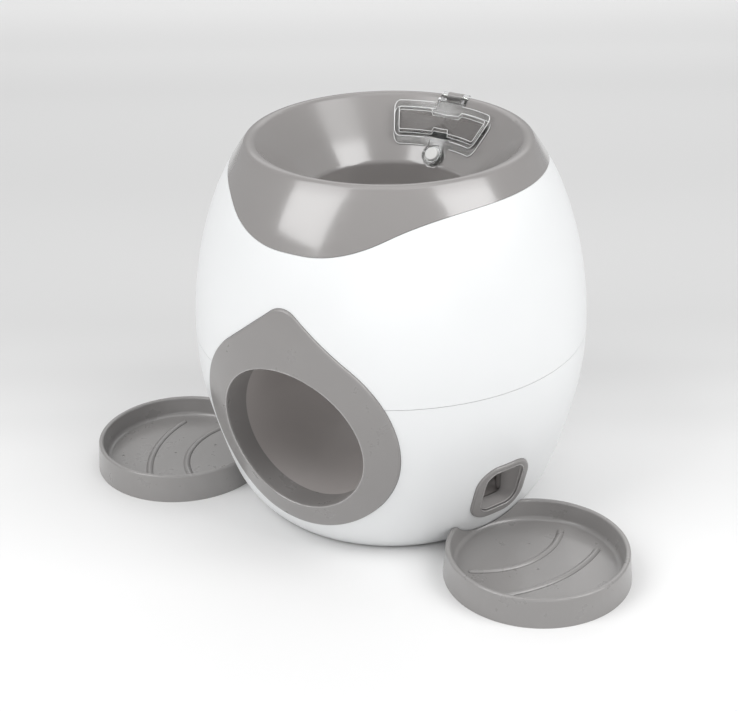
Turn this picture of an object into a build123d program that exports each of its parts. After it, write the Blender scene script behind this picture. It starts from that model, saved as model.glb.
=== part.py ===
from build123d import *
from math import acos, cos, hypot, pi, radians, sin, tan
import os

# Ball-fed treat dispenser for a dog. Millimetres, +Z up, the ball port faces -Y, the floor is Z = 0
# and the body's axis is the Z axis.

os.makedirs("parts", exist_ok=True)

# ---------------------------------------------------------------------------------------------------------
# Sizes
# ---------------------------------------------------------------------------------------------------------

# Fits
fit_gap = 0.2  # between pieces that are fixed to each other
running_gap = 0.05  # radial, between a shaft and the hole that it turns in
sweep_gap = 0.5  # between a moving piece and the walls that it passes
seam_gap = 0.3  # visible joint between the outer mouldings
fuse = 0.5  # overlap that joins two volumes of one moulding
reach = 300.0  # longer than anything, for cutting blocks

# Body: the outline is a chain of tangent arcs, each with its radius and its angle, up and down from the
# widest level
body_r = 122.9
widest_z = 116.0
upper_arcs = ((236.6, 20.4), (144.0, 17.0))
lower_arcs = ((188.7, 12.85), (464.2, 5.93), (63.0, 31.08))
wall = 2.6
rim_bottom = 1.2
parting_z = 116.0
outline_floor = -3.0  # the outline runs down to here, below the floor
outline_angle = 40.0

# Bowl: crest, cone and throat
crest_round = 4.5
cone_slope = 49.0
throat_r = 50.5
throat_round = 4.0
throat_bottom = 186.0
funnel_keep_r = 80.0

# Wavy seam between the bowl's skirt and the upper shell, seen from the front
seam_dip_z = 200.0
seam_dip_half = 8.0
seam_wave_r = 90.2
seam_wave_angle = 29.4

# Hidden lips that line the mouldings up
lip_wall = 2.0
lip_reach = 6.0
lip_root = 7.0
seam_lip_bottom = 192.0

# Ball chute
chute_r = 48.0
chute_wall = 2.5
bend_r = 60.0
port_z = 84.2
bend_y = -bend_r
bend_z = port_z + bend_r
chute_front_y = -92.5
socket_wall = 2.7
socket_top = 193.0
tube_joint_z = 150.0
sleeve_lap = 6.0
chute_flange = 2.5
ear_r = 4.5
ear_ring_r = 62.0
ear_angles = (180.0, 270.0, 0.0)
collar_lap = 6.0

# Ball port bezel: a circle drawn up to a rounded peak
bezel_r = 67.0
bezel_z = 87.5
bezel_side_angle = 51.5
bezel_peak_round = 13.0
bezel_proud = 1.5
bezel_edge_round = 1.3
bezel_mouth_round = 1.2
flange_grow = 4.0
flange_wall = 2.0

# Treat ports
treat_port_azimuth = 68.2
treat_port_z = 42.25
treat_bezel_width = 40.2
treat_bezel_height = 40.6
treat_bezel_corner = 14.0
treat_mouth_width = 28.6
treat_mouth_height = 31.0
treat_mouth_corner = 8.0
treat_mouth_rise = 0.75
treat_duct_wall = 2.0
treat_duct_start = 96.4
treat_duct_length = 9.0
treat_flange_grow = 2.5

# Base plate, its screws and pads
base_z = 4.0
base_thickness = 2.5
base_r = 83.8
ledge_inner_r = 75.5
ledge_thickness = 2.5
base_screw_ring_r = 79.6
base_screw_count = 4
base_screw_start = 45.0
boss_r = 4.2
boss_top = 20.0
pad_r = 8.0
pad_ring_r = 64.0
pad_angles = (50.0, 130.0, 235.0, 305.0)
pad_centre_r = 14.0
pad_edge = 1.0

# Screws
screw_r = 1.5
screw_head_r = 2.8
screw_head_height = 1.9
screw_length = 11.0
small_screw_r = 1.0
small_screw_head_r = 1.8
small_screw_head_height = 1.4
small_screw_length = 4.6
screw_hole_gap = 0.2
thread_gap = 0.05

# Trays
tray_x = 134.0
tray_y = -53.5
tray_base_r = 56.6
tray_rim_r = 55.1
tray_height = 18.5
tray_wall = 3.0
tray_floor_low = 3.0
tray_floor_top = 5.5
tray_rim_round = 1.3
tray_inside_round = 3.0
tray_body_gap = 0.4
tongue_width = 24.0
tongue_z = 0.8
tongue_thickness = 2.6
tongue_inner_r = 62.0
tongue_outer_r = 92.0
tongue_slot_gap = 0.5
rail_width = 2.0
rail_inner_r = 48.0
rail_outer_r = 81.0
rib_width = 2.6
rib_height = 1.1
rib_round = 1.0
ribs = ((-58.0, 53.0, 42.0), (-73.0, 92.0, 25.0))  # centre outwards from the tray's, radius, half angle
mark_r = 0.8
mark_depth = 0.3
tray_marks = ((-20.0, 11.0), (4.0, -3.0), (38.0, -12.0))

# Lid over the hopper, in the cone at the back
lid_inner_r = 58.0
lid_outer_r = 74.5
lid_half_angle = 28.5
lid_corner = 4.0
lid_lift = 0.5
lid_panel = 2.0
lid_rim_height = 3.6
lid_rim_width = 3.2
mouth_outer_r = 72.0
mouth_inner_y = 62.5
mouth_half_angle = 25.5
mouth_corner = 1.2
lid_mark = (-19.0, 64.5)
lid_mark_r = 4.0
lid_mark_line = 0.5
lid_mark_height = 0.25

# Lid hinge
hinge_y = 83.2
hinge_z = 236.6
hinge_pin_r = 1.1
hinge_knuckle_r = 2.9
hinge_knuckle_half = 5.2
hinge_ear_r = 2.7
hinge_ear_half = 9.1
hinge_side_gap = 0.3
hinge_notch_start_y = 78.3
hinge_notch_depth = 3.4
hinge_notch_half = 9.5
hinge_block_half = 12.0
hinge_block_start_y = 77.4
hinge_block_bottom = 231.0
hinge_web = (
    (72.4, 229.9),
    (76.4, 233.1),
    (78.6, 234.1),
    (83.2, 233.9),
    (83.2, 239.3),
    (76.0, 236.6),
    (72.4, 232.8),
)

# Lid catch button; heights are measured square to the cone
catch_r_from_axis = 54.5
cup_r = 6.8
cup_bottom = -0.4
cup_floor = 0.6
cup_top = 4.1
cup_rim_width = 2.2
catch_neck_width = 10.0
catch_neck_length = 12.0
button_flange_r = 5.2
button_flange_bottom = 2.2
button_lip = 3.3
button_flange_top = 3.2
button_r = 4.4
button_top = 5.4
button_edge = 0.8
button_hollow_r = 3.6
button_hollow_top = 4.6
recess_r = 7.6
recess_depth = 1.0
hook_width = 5.0
hook_thickness = 1.2
hook_depth = 3.4
button_spring_r = 2.9
button_spring_wire_r = 0.3
button_spring_turns = 3

# Paddle that the ball pushes
paddle_y = 55.5
paddle_z = 168.0
paddle_shaft_r = 2.5
paddle_hub_r = 4.2
paddle_half = 15.0
paddle_hub_half = 16.3
paddle_length = 60.0
paddle_thickness = 2.5
paddle_angle = 220.0
paddle_swing = 47.0
slot_half = 16.8
lug_inner = 17.4
lug_thickness = 3.4
lug_r = 4.4
lug_root_y = 40.0
paddle_shaft_left = -34.0
shaft_right = 38.0
spring_collar_r = 5.0
spring_collar_length = 3.0
paddle_spring_r = 3.7
paddle_spring_wire_r = 0.45
paddle_spring_turns = 5
paddle_spring_left = -30.0
paddle_spring_right = -23.0
paddle_spring_back_leg = 4.3
paddle_spring_front_leg = 10.0
spring_peg_r = 0.6
spring_peg_y = 57.5
spring_peg_length = 1.8
paddle_tip_round = 1.0

# Metering drum and its gears
gear_module = 1.5
drum_gear_teeth = 18
paddle_gear_teeth = 46  # of the whole circle that the sector is cut from
paddle_gear_first = -7
paddle_gear_last = 1
gear_pressure_angle = 20.0
gear_backlash = 0.3
gear_left = 31.0
gear_width = 5.0
gear_hub_r = 6.5
gear_mount_angle = -53.6
drum_r = 24.0
drum_half = 22.0
drum_shaft_r = 3.0
drum_shaft_left = -28.0
pocket_width = 20.0
pocket_half = 14.0
pocket_depth = 17.0
pocket_round = 5.0

# Drum housing and hopper
housing_gap = 0.5
housing_wall = 2.5
housing_side_gap = 0.3
neck_front_y = 62.2
neck_back_y = 102.0
hopper_bottom = 154.0
hopper_wall = 2.0
hopper_half = 22.0
hopper_top_half = 33.5
hopper_top_back_y = 77.5
hopper_top = 236.0
hopper_flange = 2.5
hopper_flange_half = 29.5
hopper_flange_back_y = 106.0
hopper_screw_x = 27.0
hopper_screw_ys = (68.0, 98.0)
hopper_ear_x = 41.0
hopper_ear_y = 62.0
hopper_ear_z = 200.0
duct_front_y = 88.0
duct_back_y = 110.5
duct_wall = 2.0
duct_bottom = 96.0
duct_top = 124.0
duct_outer_top = 129.0

# Diverter flap below the drum
flap_z = 86.0
flap_pin_r = 1.5
flap_hub_r = 2.6
flap_length = 14.0
flap_thickness = 1.5
flap_lean = 28.0
flap_end_gap = 0.5
flap_lug_half = 8.2
flap_lug_bottom = 77.5
ridge_top = 82.8
ridge_foot = 79.8
ridge_wall = 2.3
stop_r = 1.2
stop_length = 3.0
stop_along = 9.0
stop_gap = 0.2

# Treat chutes: the middle of the floor, on the right-hand side
chute_path = (
    (8.5, 99.2, 79.0),
    (50.0, 80.0, 65.5),
    (76.0, 42.0, 52.0),
    (80.0, 2.0, 40.0),
    (89.2, -35.7, 30.0),
)
chute_path_start = (1.0, 0.0, -0.28)
channel_width = 23.0
channel_height = 16.5
channel_wall = 2.0
stand_ring_r = 67.0
stand_r = 4.0
stand_reach = 12.0
stand_rib = 4.0
stand_rib_height = 6.0
stand_places = ((28.9, 50.8), (1.4, 38.8))  # angle about the body's axis, height of the chute's underside
ball_stand_x = 28.0
ball_stand_y = -62.0
ball_stand_top = 50.0

# Values that follow from the sizes above
skirt_lean = sum(angle for _, angle in upper_arcs)
crest_turn = 90 - skirt_lean + cone_slope
gear_pitch_small = gear_module * drum_gear_teeth / 2
gear_pitch_large = gear_module * paddle_gear_teeth / 2
gear_distance = gear_pitch_small + gear_pitch_large
drum_y = paddle_y + gear_distance * cos(radians(gear_mount_angle))
drum_z = paddle_z + gear_distance * sin(radians(gear_mount_angle))
plate_top = base_z + base_thickness
housing_r = drum_r + housing_gap
housing_half = drum_half + housing_side_gap
duct_middle_y = (duct_front_y + duct_back_y) / 2
outline_direction = (cos(radians(outline_angle)), sin(radians(outline_angle)), 0)

# The body's outline is turned from here, clear of every opening
outline_plane = Plane(
    origin=(0, 0, 0),
    x_dir=outline_direction,
    z_dir=(outline_direction[1], -outline_direction[0], 0),
)

low = (Align.CENTER, Align.CENTER, Align.MIN)
high = (Align.CENTER, Align.CENTER, Align.MAX)


# ---------------------------------------------------------------------------------------------------------
# Shared shapes
# ---------------------------------------------------------------------------------------------------------


def chain_end(arcs):
    """Distance inwards and along the axis that a chain of tangent arcs covers from the widest level."""
    inwards = 0
    along = 0
    lean = 0
    for radius, angle in arcs:
        inwards += radius * (cos(radians(lean)) - cos(radians(lean + angle)))
        along += radius * (sin(radians(lean + angle)) - sin(radians(lean)))
        lean += angle
    return inwards, along


skirt_inwards, skirt_rise = chain_end(upper_arcs)
crest_ring_r = body_r - skirt_inwards - crest_round * cos(radians(skirt_lean))
crest_z = widest_z + skirt_rise - crest_round * sin(radians(skirt_lean))
body_top = crest_z + crest_round
cone_top_r = crest_ring_r - crest_round * sin(radians(cone_slope))
cone_top_z = crest_z + crest_round * cos(radians(cone_slope))


def cone_height(radius):
    """Height of the bowl's cone at a radius from the body's axis."""
    return cone_top_z - (cone_top_r - radius) * tan(radians(cone_slope))


def side_line(inset, arcs, up):
    """Draw the arcs from the widest level, moved inwards by inset, and return the last one."""
    point = (body_r - inset, widest_z)
    direction = (0, up)
    for radius, angle in arcs:
        arc = JernArc(point, direction, radius - inset, up * angle)
        point = arc @ 1
        direction = arc % 1
    return arc


def barrel(inset):
    """Solid inside the body's side wall, moved inwards by inset."""
    with BuildPart() as body:
        with BuildSketch(outline_plane):
            with BuildLine():
                top = side_line(inset, upper_arcs, 1) @ 1
                foot = side_line(inset, lower_arcs, -1) @ 1
                Polyline(top, (0, top.Y), (0, outline_floor), (foot.X, outline_floor), foot)
            make_face()
        revolve(axis=Axis.Z)
    return body.part


def funnel_body(inset):
    """Solid between the throat and the side wall, below the cone and the crest, moved inwards by inset."""
    bore = throat_r + inset
    with BuildPart() as body:
        with BuildSketch(outline_plane) as section:
            with BuildLine():
                side = side_line(inset, upper_arcs, 1)
                crest = JernArc(side @ 1, side % 1, crest_round - inset, crest_turn)
                cone_start = crest @ 1
                bore_top = (bore, cone_start.Y - (cone_start.X - bore) * tan(radians(cone_slope)))
                foot = side_line(inset, lower_arcs, -1) @ 1
                Polyline(cone_start, bore_top, (bore, outline_floor), (foot.X, outline_floor), foot)
            make_face()
            corner = section.vertices().sort_by_distance((bore_top[0], bore_top[1], 0))[0]
            fillet(corner, throat_round - inset)
        revolve(axis=Axis.Z)
    return body.part


def funnel_skin():
    """Wall of the throat, the cone, the crest and the whole side."""
    with BuildPart() as skin:
        add(funnel_body(0))
        add(funnel_body(wall), mode=Mode.SUBTRACT)
    return skin.part


def above_seam(lift):
    """Block above the wavy seam, moved up by lift."""
    base = seam_dip_z + lift
    with BuildPart() as block:
        with BuildSketch(Plane.XZ.offset(-reach / 2)):
            with BuildLine():
                dip = Line((0, base), (seam_dip_half, base))
                rise = JernArc(dip @ 1, (1, 0), seam_wave_r, seam_wave_angle)
                crown = JernArc(rise @ 1, rise % 1, seam_wave_r, -seam_wave_angle)
                Polyline(crown @ 1, (reach, (crown @ 1).Y), (reach, reach), (0, reach), (0, base))
            make_face()
            mirror(about=Plane.YZ)
        extrude(amount=reach)
    return block.part


def skin_band(bottom, top):
    """The body's outer wall between two heights."""
    with BuildPart() as band:
        add(barrel(0))
        add(barrel(wall), mode=Mode.SUBTRACT)
        with Locations((0, 0, bottom)):
            Cylinder(reach, top - bottom, align=low, mode=Mode.INTERSECT)
    return band.part


def wall_ring(inset, bottom, top):
    """Ring along the inside of the wall, from an inset to the lips' inner face, between two heights."""
    with BuildPart() as ring:
        add(barrel(inset))
        with Locations((0, 0, bottom)):
            Cylinder(reach, top - bottom, align=low, mode=Mode.INTERSECT)
        add(barrel(wall + fit_gap + lip_wall), mode=Mode.SUBTRACT)
    return ring.part


def seam_lip():
    """Ring inside the upper shell's top edge that the skirt fits over."""
    with BuildPart() as root:
        add(wall_ring(wall - fuse, seam_lip_bottom, crest_z))
        add(above_seam(-seam_gap / 2), mode=Mode.SUBTRACT)
    with BuildPart() as lip:
        add(wall_ring(wall + fit_gap, seam_lip_bottom, crest_z))
        add(above_seam(lip_reach), mode=Mode.SUBTRACT)
        add(root.part)
    return lip.part


def parting_lip():
    """Ring inside the lower shell's top edge that the upper shell fits over."""
    with BuildPart() as lip:
        add(wall_ring(wall - fuse, parting_z - lip_root, parting_z - seam_gap / 2))
        add(wall_ring(wall + fit_gap, parting_z - lip_root, parting_z + lip_reach))
        extrude(to_extrude=peaked_circle(flange_grow + fit_gap), amount=reach, mode=Mode.SUBTRACT)
    return lip.part


def peaked_circle(grow):
    """Outline of the ball port bezel on the front plane, made larger by grow."""
    side = radians(bezel_side_angle)
    touch = (bezel_r * cos(side), bezel_z + bezel_r * sin(side))
    peak = (0, bezel_z + bezel_r / sin(side))
    with BuildSketch(Plane.XZ) as outline:
        with BuildLine():
            ThreePointArc((-touch[0], touch[1]), (0, bezel_z - bezel_r), touch)
            Polyline(touch, peak, (-touch[0], touch[1]))
        make_face()
        fillet(outline.vertices().sort_by(Axis.Y)[-1], bezel_peak_round)
        if grow:
            offset(amount=grow)
    return outline.sketch


def ball_duct(radius, top, front):
    """Solid bend from the throat to the ball port."""
    with BuildPart() as duct:
        with BuildSketch(Plane.XY.offset(bend_z)):
            Circle(radius)
        extrude(amount=top - bend_z)
        with BuildSketch(Plane.XY.offset(bend_z)):
            Circle(radius)
        revolve(axis=Axis((0, bend_y, bend_z), (-1, 0, 0)), revolution_arc=90)
        with BuildSketch(Plane.XZ.offset(-bend_y)):
            with Locations((0, port_z)):
                Circle(radius)
        extrude(amount=bend_y - front)
    return duct.part


def paddle_slot():
    """Block that the paddle swings through, with room round it."""
    with BuildPart() as slot:
        with BuildSketch(Plane.YZ):
            with BuildLine():
                swept = CenterArc(
                    (paddle_y, paddle_z),
                    paddle_length + sweep_gap,
                    paddle_angle,
                    paddle_swing,
                )
                Polyline(swept @ 1, (paddle_y, paddle_z), swept @ 0)
            make_face()
            for angle in (paddle_angle, paddle_angle + paddle_swing):
                with Locations((paddle_y, paddle_z)):
                    Rectangle(
                        paddle_length + sweep_gap,
                        paddle_thickness + 2 * sweep_gap,
                        rotation=angle,
                        align=(Align.MIN, Align.CENTER),
                    )
            with Locations((paddle_y, paddle_z)):
                Circle(paddle_hub_r + sweep_gap)
        extrude(amount=slot_half, both=True)
    return slot.part


def treat_port_plane(side):
    """Upright plane across a treat port, through the body's axis; side is 1 for right, -1 for left."""
    out_x = side * sin(radians(treat_port_azimuth))
    out_y = -cos(radians(treat_port_azimuth))
    return Plane(origin=(0, 0, treat_port_z), x_dir=(-out_y, out_x, 0), z_dir=(out_x, out_y, 0))


def tray_plane(side):
    """Floor plane of a tray, with X pointing away from the body."""
    return Plane(origin=(side * tray_x, tray_y, 0), x_dir=(side * tray_x, tray_y, 0), z_dir=(0, 0, 1))


def screw(shank_r, length, head_r, head_height):
    """Pan-head screw that points up, with its head's bearing face at the origin."""
    slot = head_r * 0.3
    with BuildPart() as made:
        Cylinder(head_r, head_height, align=high)
        fillet(made.edges().group_by(Axis.Z)[0], head_height * 0.45)
        Cylinder(shank_r, length, align=low)
        with Locations((0, 0, -head_height)):
            Box(head_r * 1.1, slot, head_height, mode=Mode.SUBTRACT)
            Box(slot, head_r * 1.1, head_height, mode=Mode.SUBTRACT)
    return made.part


def tooth(teeth, angle):
    """One involute gear tooth about the origin, pointing at angle."""
    pitch_r = gear_module * teeth / 2
    base_r = pitch_r * cos(radians(gear_pressure_angle))
    root_r = pitch_r - 1.25 * gear_module
    tip_r = pitch_r + gear_module
    start_r = max(base_r, root_r)
    involute_at_pitch = tan(radians(gear_pressure_angle)) - radians(gear_pressure_angle)
    half_at_base = pi / 2 / teeth - gear_backlash / 2 / pitch_r + involute_at_pitch

    def flank(radius, turn):
        roll = acos(min(1, base_r / radius))
        half = half_at_base - (tan(roll) - roll)
        return (radius * cos(radians(angle) + turn * half), radius * sin(radians(angle) + turn * half))

    radii = [start_r + (tip_r - start_r) * step / 4 for step in range(5)]
    inner_r = root_r - fuse
    foot_angles = [radians(angle) + turn * half_at_base for turn in (-1, 1)]
    feet = [(inner_r * cos(foot_angle), inner_r * sin(foot_angle)) for foot_angle in foot_angles]
    with BuildSketch() as shape:
        with BuildLine():
            Spline(*[flank(radius, 1) for radius in radii])
            Spline(*[flank(radius, -1) for radius in radii])
            Line(flank(tip_r, 1), flank(tip_r, -1))
            Polyline(flank(start_r, 1), feet[1], feet[0], flank(start_r, -1))
        make_face()
    return shape.sketch


def drum_gear_outline():
    """Whole gear about the origin, with a gap towards the paddle's shaft."""
    step = 360 / drum_gear_teeth
    with BuildSketch() as outline:
        Circle(gear_pitch_small - 1.25 * gear_module)
        for count in range(drum_gear_teeth):
            add(tooth(drum_gear_teeth, gear_mount_angle + 180 + (count + 0.5) * step))
    return outline.sketch


def paddle_gear_outline():
    """Sector gear about the origin, with a tooth towards the drum's shaft."""
    step = 360 / paddle_gear_teeth
    first = gear_mount_angle + (paddle_gear_first - 0.5) * step
    sweep_angle = (paddle_gear_last - paddle_gear_first + 1) * step
    with BuildSketch() as outline:
        with BuildLine():
            rim = CenterArc((0, 0), gear_pitch_large - 1.25 * gear_module, first, sweep_angle)
            Polyline(rim @ 1, (0, 0), rim @ 0)
        make_face()
        for count in range(paddle_gear_first, paddle_gear_last + 1):
            add(tooth(paddle_gear_teeth, gear_mount_angle + count * step))
    return outline.sketch


def lid_outline(grow):
    """Rounded sector that the lid covers, seen from above, made larger by grow."""
    start = 90 - lid_half_angle
    span = 2 * lid_half_angle
    with BuildSketch() as outline:
        with BuildLine():
            inner = CenterArc((0, 0), lid_inner_r, start, span)
            outer = CenterArc((0, 0), lid_outer_r, start, span)
            Line(inner @ 0, outer @ 0)
            Line(inner @ 1, outer @ 1)
        make_face()
        fillet(outline.vertices(), lid_corner)
        if grow:
            offset(amount=grow)
    return outline.sketch


def mouth_outline():
    """Opening in the cone over the hopper, seen from above."""
    side_x = mouth_inner_y * tan(radians(mouth_half_angle))
    start = 90 - mouth_half_angle
    with BuildSketch() as outline:
        with BuildLine():
            outer = CenterArc((0, 0), mouth_outer_r, start, 2 * mouth_half_angle)
            Polyline(outer @ 0, (side_x, mouth_inner_y), (-side_x, mouth_inner_y), outer @ 1)
        make_face()
        fillet(outline.vertices(), mouth_corner)
    return outline.sketch


def skirt_keep():
    """Space that the bowl fills: all that lies above the wavy seam, and the funnel inside it."""
    with BuildPart() as space:
        add(above_seam(seam_gap / 2))
        with Locations((0, 0, throat_bottom)):
            Cylinder(funnel_keep_r, body_top - throat_bottom, align=low)
    return space.part


def lid_pocket():
    """Sunk middle of the lid, which leaves a raised rim round it, the hinge and the catch."""
    with BuildPart() as pocket:
        add(cone_slab(lid_lift + lid_panel, lid_lift + 2 * lid_rim_height))
        extrude(to_extrude=lid_outline(-lid_rim_width), amount=reach, mode=Mode.INTERSECT)
        add(catch_disc(cup_r + cup_rim_width, cup_bottom, button_top), mode=Mode.SUBTRACT)
        with Locations((0, hinge_y, 0)):
            Box(
            2 * hinge_ear_half,
            2 * (hinge_y - lid_outer_r + lid_rim_width + cup_rim_width),
            2 * reach,
            mode=Mode.SUBTRACT,
        )
    return pocket.part


def lid_ring():
    """Fine raised circle on the lid's panel."""
    panel_top = lid_lift + lid_panel
    with BuildPart() as ring:
        add(cone_slab(panel_top - lid_mark_height, panel_top + lid_mark_height))
        with BuildSketch():
            with Locations(lid_mark):
                Circle(lid_mark_r)
                Circle(lid_mark_r - lid_mark_line, mode=Mode.SUBTRACT)
        extrude(amount=reach, mode=Mode.INTERSECT)
    return ring.part


def cone_slab(bottom, top):
    """Ring on the cone, between two heights measured square to it, wider than the lid."""
    slope = radians(cone_slope)
    section = [
        (radius - height * sin(slope), cone_height(radius) + height * cos(slope))
        for radius, height in (
            (throat_r, bottom),
            (crest_ring_r, bottom),
            (crest_ring_r, top),
            (throat_r, top),
        )
    ]
    with BuildPart() as slab:
        with BuildSketch(Plane.XZ):
            Polygon(*section, align=None)
        revolve(axis=Axis.Z)
    return slab.part


def catch_plane(height):
    """Plane across the lid's catch, at a height measured square to the cone."""
    slope = radians(cone_slope)
    origin = (
        0,
        catch_r_from_axis - height * sin(slope),
        cone_height(catch_r_from_axis) + height * cos(slope),
    )
    return Plane(origin=origin, x_dir=(1, 0, 0), z_dir=(0, -sin(slope), cos(slope)))


def catch_disc(radius, bottom, top):
    """Cylinder about the catch's axis."""
    with BuildPart() as disc:
        with BuildSketch(catch_plane(bottom)):
            Circle(radius)
        extrude(amount=top - bottom)
    return disc.part


def bezel_plate():
    """Ball port bezel without its bore: the proud plate, and the flange behind the shells."""
    with BuildPart() as flange:
        extrude(to_extrude=peaked_circle(flange_grow), amount=reach)
        add(barrel(wall + fit_gap), mode=Mode.INTERSECT)
    with BuildPart() as plate:
        extrude(to_extrude=peaked_circle(0), amount=reach)
        add(barrel(-bezel_proud), mode=Mode.INTERSECT)
        fillet(plate.faces().sort_by(Axis.Y)[0].outer_wire().edges(), bezel_edge_round)
        add(flange.part)
        add(barrel(wall + fit_gap + flange_wall), mode=Mode.SUBTRACT)
    return plate.part


def bezel_collar():
    """Solid collar from the ball chute's end to the bezel."""
    with BuildPart() as collar:
        with BuildSketch(Plane.XZ.offset(-chute_front_y)):
            with Locations((0, port_z)):
                Circle(chute_r + chute_wall)
        extrude(amount=reach)
        add(barrel(0), mode=Mode.INTERSECT)
    return collar.part


def treat_bezel(side):
    """Treat port bezel with its duct."""
    face_plane = treat_port_plane(side)
    with BuildPart() as flange:
        with BuildSketch(face_plane):
            RectangleRounded(
                treat_bezel_width + 2 * treat_flange_grow,
                treat_bezel_height + 2 * treat_flange_grow,
                treat_bezel_corner + treat_flange_grow,
            )
        extrude(amount=reach)
        add(barrel(wall + fit_gap), mode=Mode.INTERSECT)
    with BuildPart() as bezel:
        with BuildSketch(face_plane):
            RectangleRounded(treat_bezel_width, treat_bezel_height, treat_bezel_corner)
        extrude(amount=reach)
        add(barrel(-bezel_proud), mode=Mode.INTERSECT)
        outer_face = bezel.faces().sort_by(Axis(origin=(0, 0, 0), direction=face_plane.z_dir))[-1]
        fillet(outer_face.outer_wire().edges(), bezel_edge_round)
        add(flange.part)
        add(barrel(wall + fit_gap + flange_wall), mode=Mode.SUBTRACT)
        with BuildSketch(face_plane.offset(treat_duct_start)):
            with Locations((0, treat_mouth_rise)):
                RectangleRounded(
                    treat_mouth_width + 2 * treat_duct_wall,
                    treat_mouth_height + 2 * treat_duct_wall,
                    treat_mouth_corner + treat_duct_wall,
                )
        extrude(amount=treat_duct_length)
        with BuildSketch(face_plane):
            with Locations((0, treat_mouth_rise)):
                RectangleRounded(treat_mouth_width, treat_mouth_height, treat_mouth_corner)
        extrude(amount=reach, mode=Mode.SUBTRACT)
    return bezel.part


def treat_channel(half_width, top, bottom):
    """Solid swept along the right-hand treat chute's path, from a height below to one above its floor."""
    with BuildPart() as channel:
        with BuildLine() as path:
            Spline(*chute_path, tangents=[chute_path_start, treat_port_plane(1).z_dir])
        with BuildSketch(Plane(origin=chute_path[0], x_dir=(0, 1, 0), z_dir=(1, 0, 0))):
            with Locations((0, bottom)):
                Rectangle(2 * half_width, top - bottom, align=(Align.CENTER, Align.MIN))
        sweep(binormal=path_guide().line.edges()[0])
    return channel.part


def path_guide():
    """The treat chute's path moved straight up, which keeps the swept channel upright."""
    with BuildLine() as guide:
        Spline(
            *[(x, y, z + channel_height) for x, y, z in chute_path],
            tangents=[chute_path_start, treat_port_plane(1).z_dir],
        )
    return guide


def side_tray(side):
    """Round tray with its wall cut away along the body, and a tongue that slides under the body."""
    ground = tray_plane(side)
    body_distance = hypot(tray_x, tray_y)
    rim_inner_r = tray_rim_r - tray_wall
    floor_r = rim_inner_r - tray_wall / 2
    with BuildPart() as tray:
        with BuildSketch(Plane.XZ) as section:
            with BuildLine():
                Polyline(
                    (0, tray_floor_low),
                    (tray_base_r - tray_wall, tray_floor_low),
                    (tray_base_r - tray_wall, 0),
                    (tray_base_r, 0),
                    (tray_rim_r, tray_height),
                    (rim_inner_r, tray_height),
                    (floor_r, tray_floor_top),
                    (0, tray_floor_top),
                    (0, tray_floor_low),
                )
            make_face()
            rim_corners = section.vertices().group_by(Axis.Y)[-1]
            fillet(rim_corners, tray_rim_round)
            fillet(section.vertices().sort_by_distance((floor_r, tray_floor_top, 0))[0], tray_inside_round)
        revolve(axis=Axis.Z)
        for centre, radius, half_angle in ribs:
            with BuildSketch(Plane.XY.offset(tray_floor_top - fuse)):
                with BuildLine():
                    CenterArc((centre, 0), radius, -half_angle, 2 * half_angle)
                trace(line_width=rib_width)
            extrude(amount=rib_height + fuse)
            fillet(tray.edges(Select.LAST).group_by(Axis.Z)[-1], rib_round)
        with Locations(*[(x, y, tray_floor_top) for x, y in tray_marks]):
            Cylinder(mark_r, mark_depth, align=high, mode=Mode.SUBTRACT)
    with BuildPart() as placed:
        add(ground.location * tray.part)
        add(barrel(-tray_body_gap), mode=Mode.SUBTRACT)
        with BuildSketch(ground.offset(tongue_z)):
            with Locations((tongue_inner_r - body_distance, 0)):
                Rectangle(tongue_outer_r - tongue_inner_r, tongue_width, align=(Align.MIN, Align.CENTER))
        extrude(amount=tongue_thickness)
    return placed.part


def hopper_body(grow):
    """Tapered bin from below the cone to the drum's neck, made larger by grow."""
    with BuildPart() as bin_body:
        with BuildSketch(Plane.XY.offset(hopper_bottom)):
            with Locations((0, neck_front_y - grow)):
                Rectangle(
                    2 * (hopper_half + grow),
                    neck_back_y - neck_front_y + 2 * grow,
                    align=(Align.CENTER, Align.MIN),
                )
        with BuildSketch(Plane.XY.offset(hopper_top)):
            with Locations((0, neck_front_y - grow)):
                Rectangle(
                    2 * (hopper_top_half + grow),
                    hopper_top_back_y - neck_front_y + 2 * grow,
                    align=(Align.CENTER, Align.MIN),
                )
        loft()
    return bin_body.part


def place(ring_r, angle, height):
    """Point at a radius and an angle about the body's axis."""
    return (ring_r * cos(radians(angle)), ring_r * sin(radians(angle)), height)


stand_points = [place(stand_ring_r, angle, plate_top) for angle, _ in stand_places]
left_stand_points = [(-x, y, z) for x, y, z in stand_points]
ball_stand_points = [(side * ball_stand_x, ball_stand_y, plate_top) for side in (-1, 1)]
ear_points = [place(ear_ring_r, angle, throat_bottom) for angle in ear_angles]
hopper_ear_points = [(side * hopper_ear_x, hopper_ear_y, hopper_ear_z) for side in (-1, 1)]
base_screw_points = [
    place(base_screw_ring_r, base_screw_start + 360 / base_screw_count * step, plate_top)
    for step in range(base_screw_count)
]
hopper_screw_points = [
    (side * hopper_screw_x, y, hopper_bottom) for side in (-1, 1) for y in hopper_screw_ys
]
stop_turn = radians(90 + flap_lean)
stop_offset = flap_thickness / 2 + stop_gap + stop_r
stop_places = [
    (
        side * (stop_along * cos(stop_turn) - stop_offset * sin(stop_turn)),
        flap_z + stop_along * sin(stop_turn) + stop_offset * cos(stop_turn),
    )
    for side in (1, -1)
]
big_screw = screw(screw_r, screw_length, screw_head_r, screw_head_height)
small_screw = screw(small_screw_r, small_screw_length, small_screw_head_r, small_screw_head_height)
bezel_hole = peaked_circle(fit_gap)


# ---------------------------------------------------------------------------------------------------------
# Shells, base plate and pads
# ---------------------------------------------------------------------------------------------------------

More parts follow.
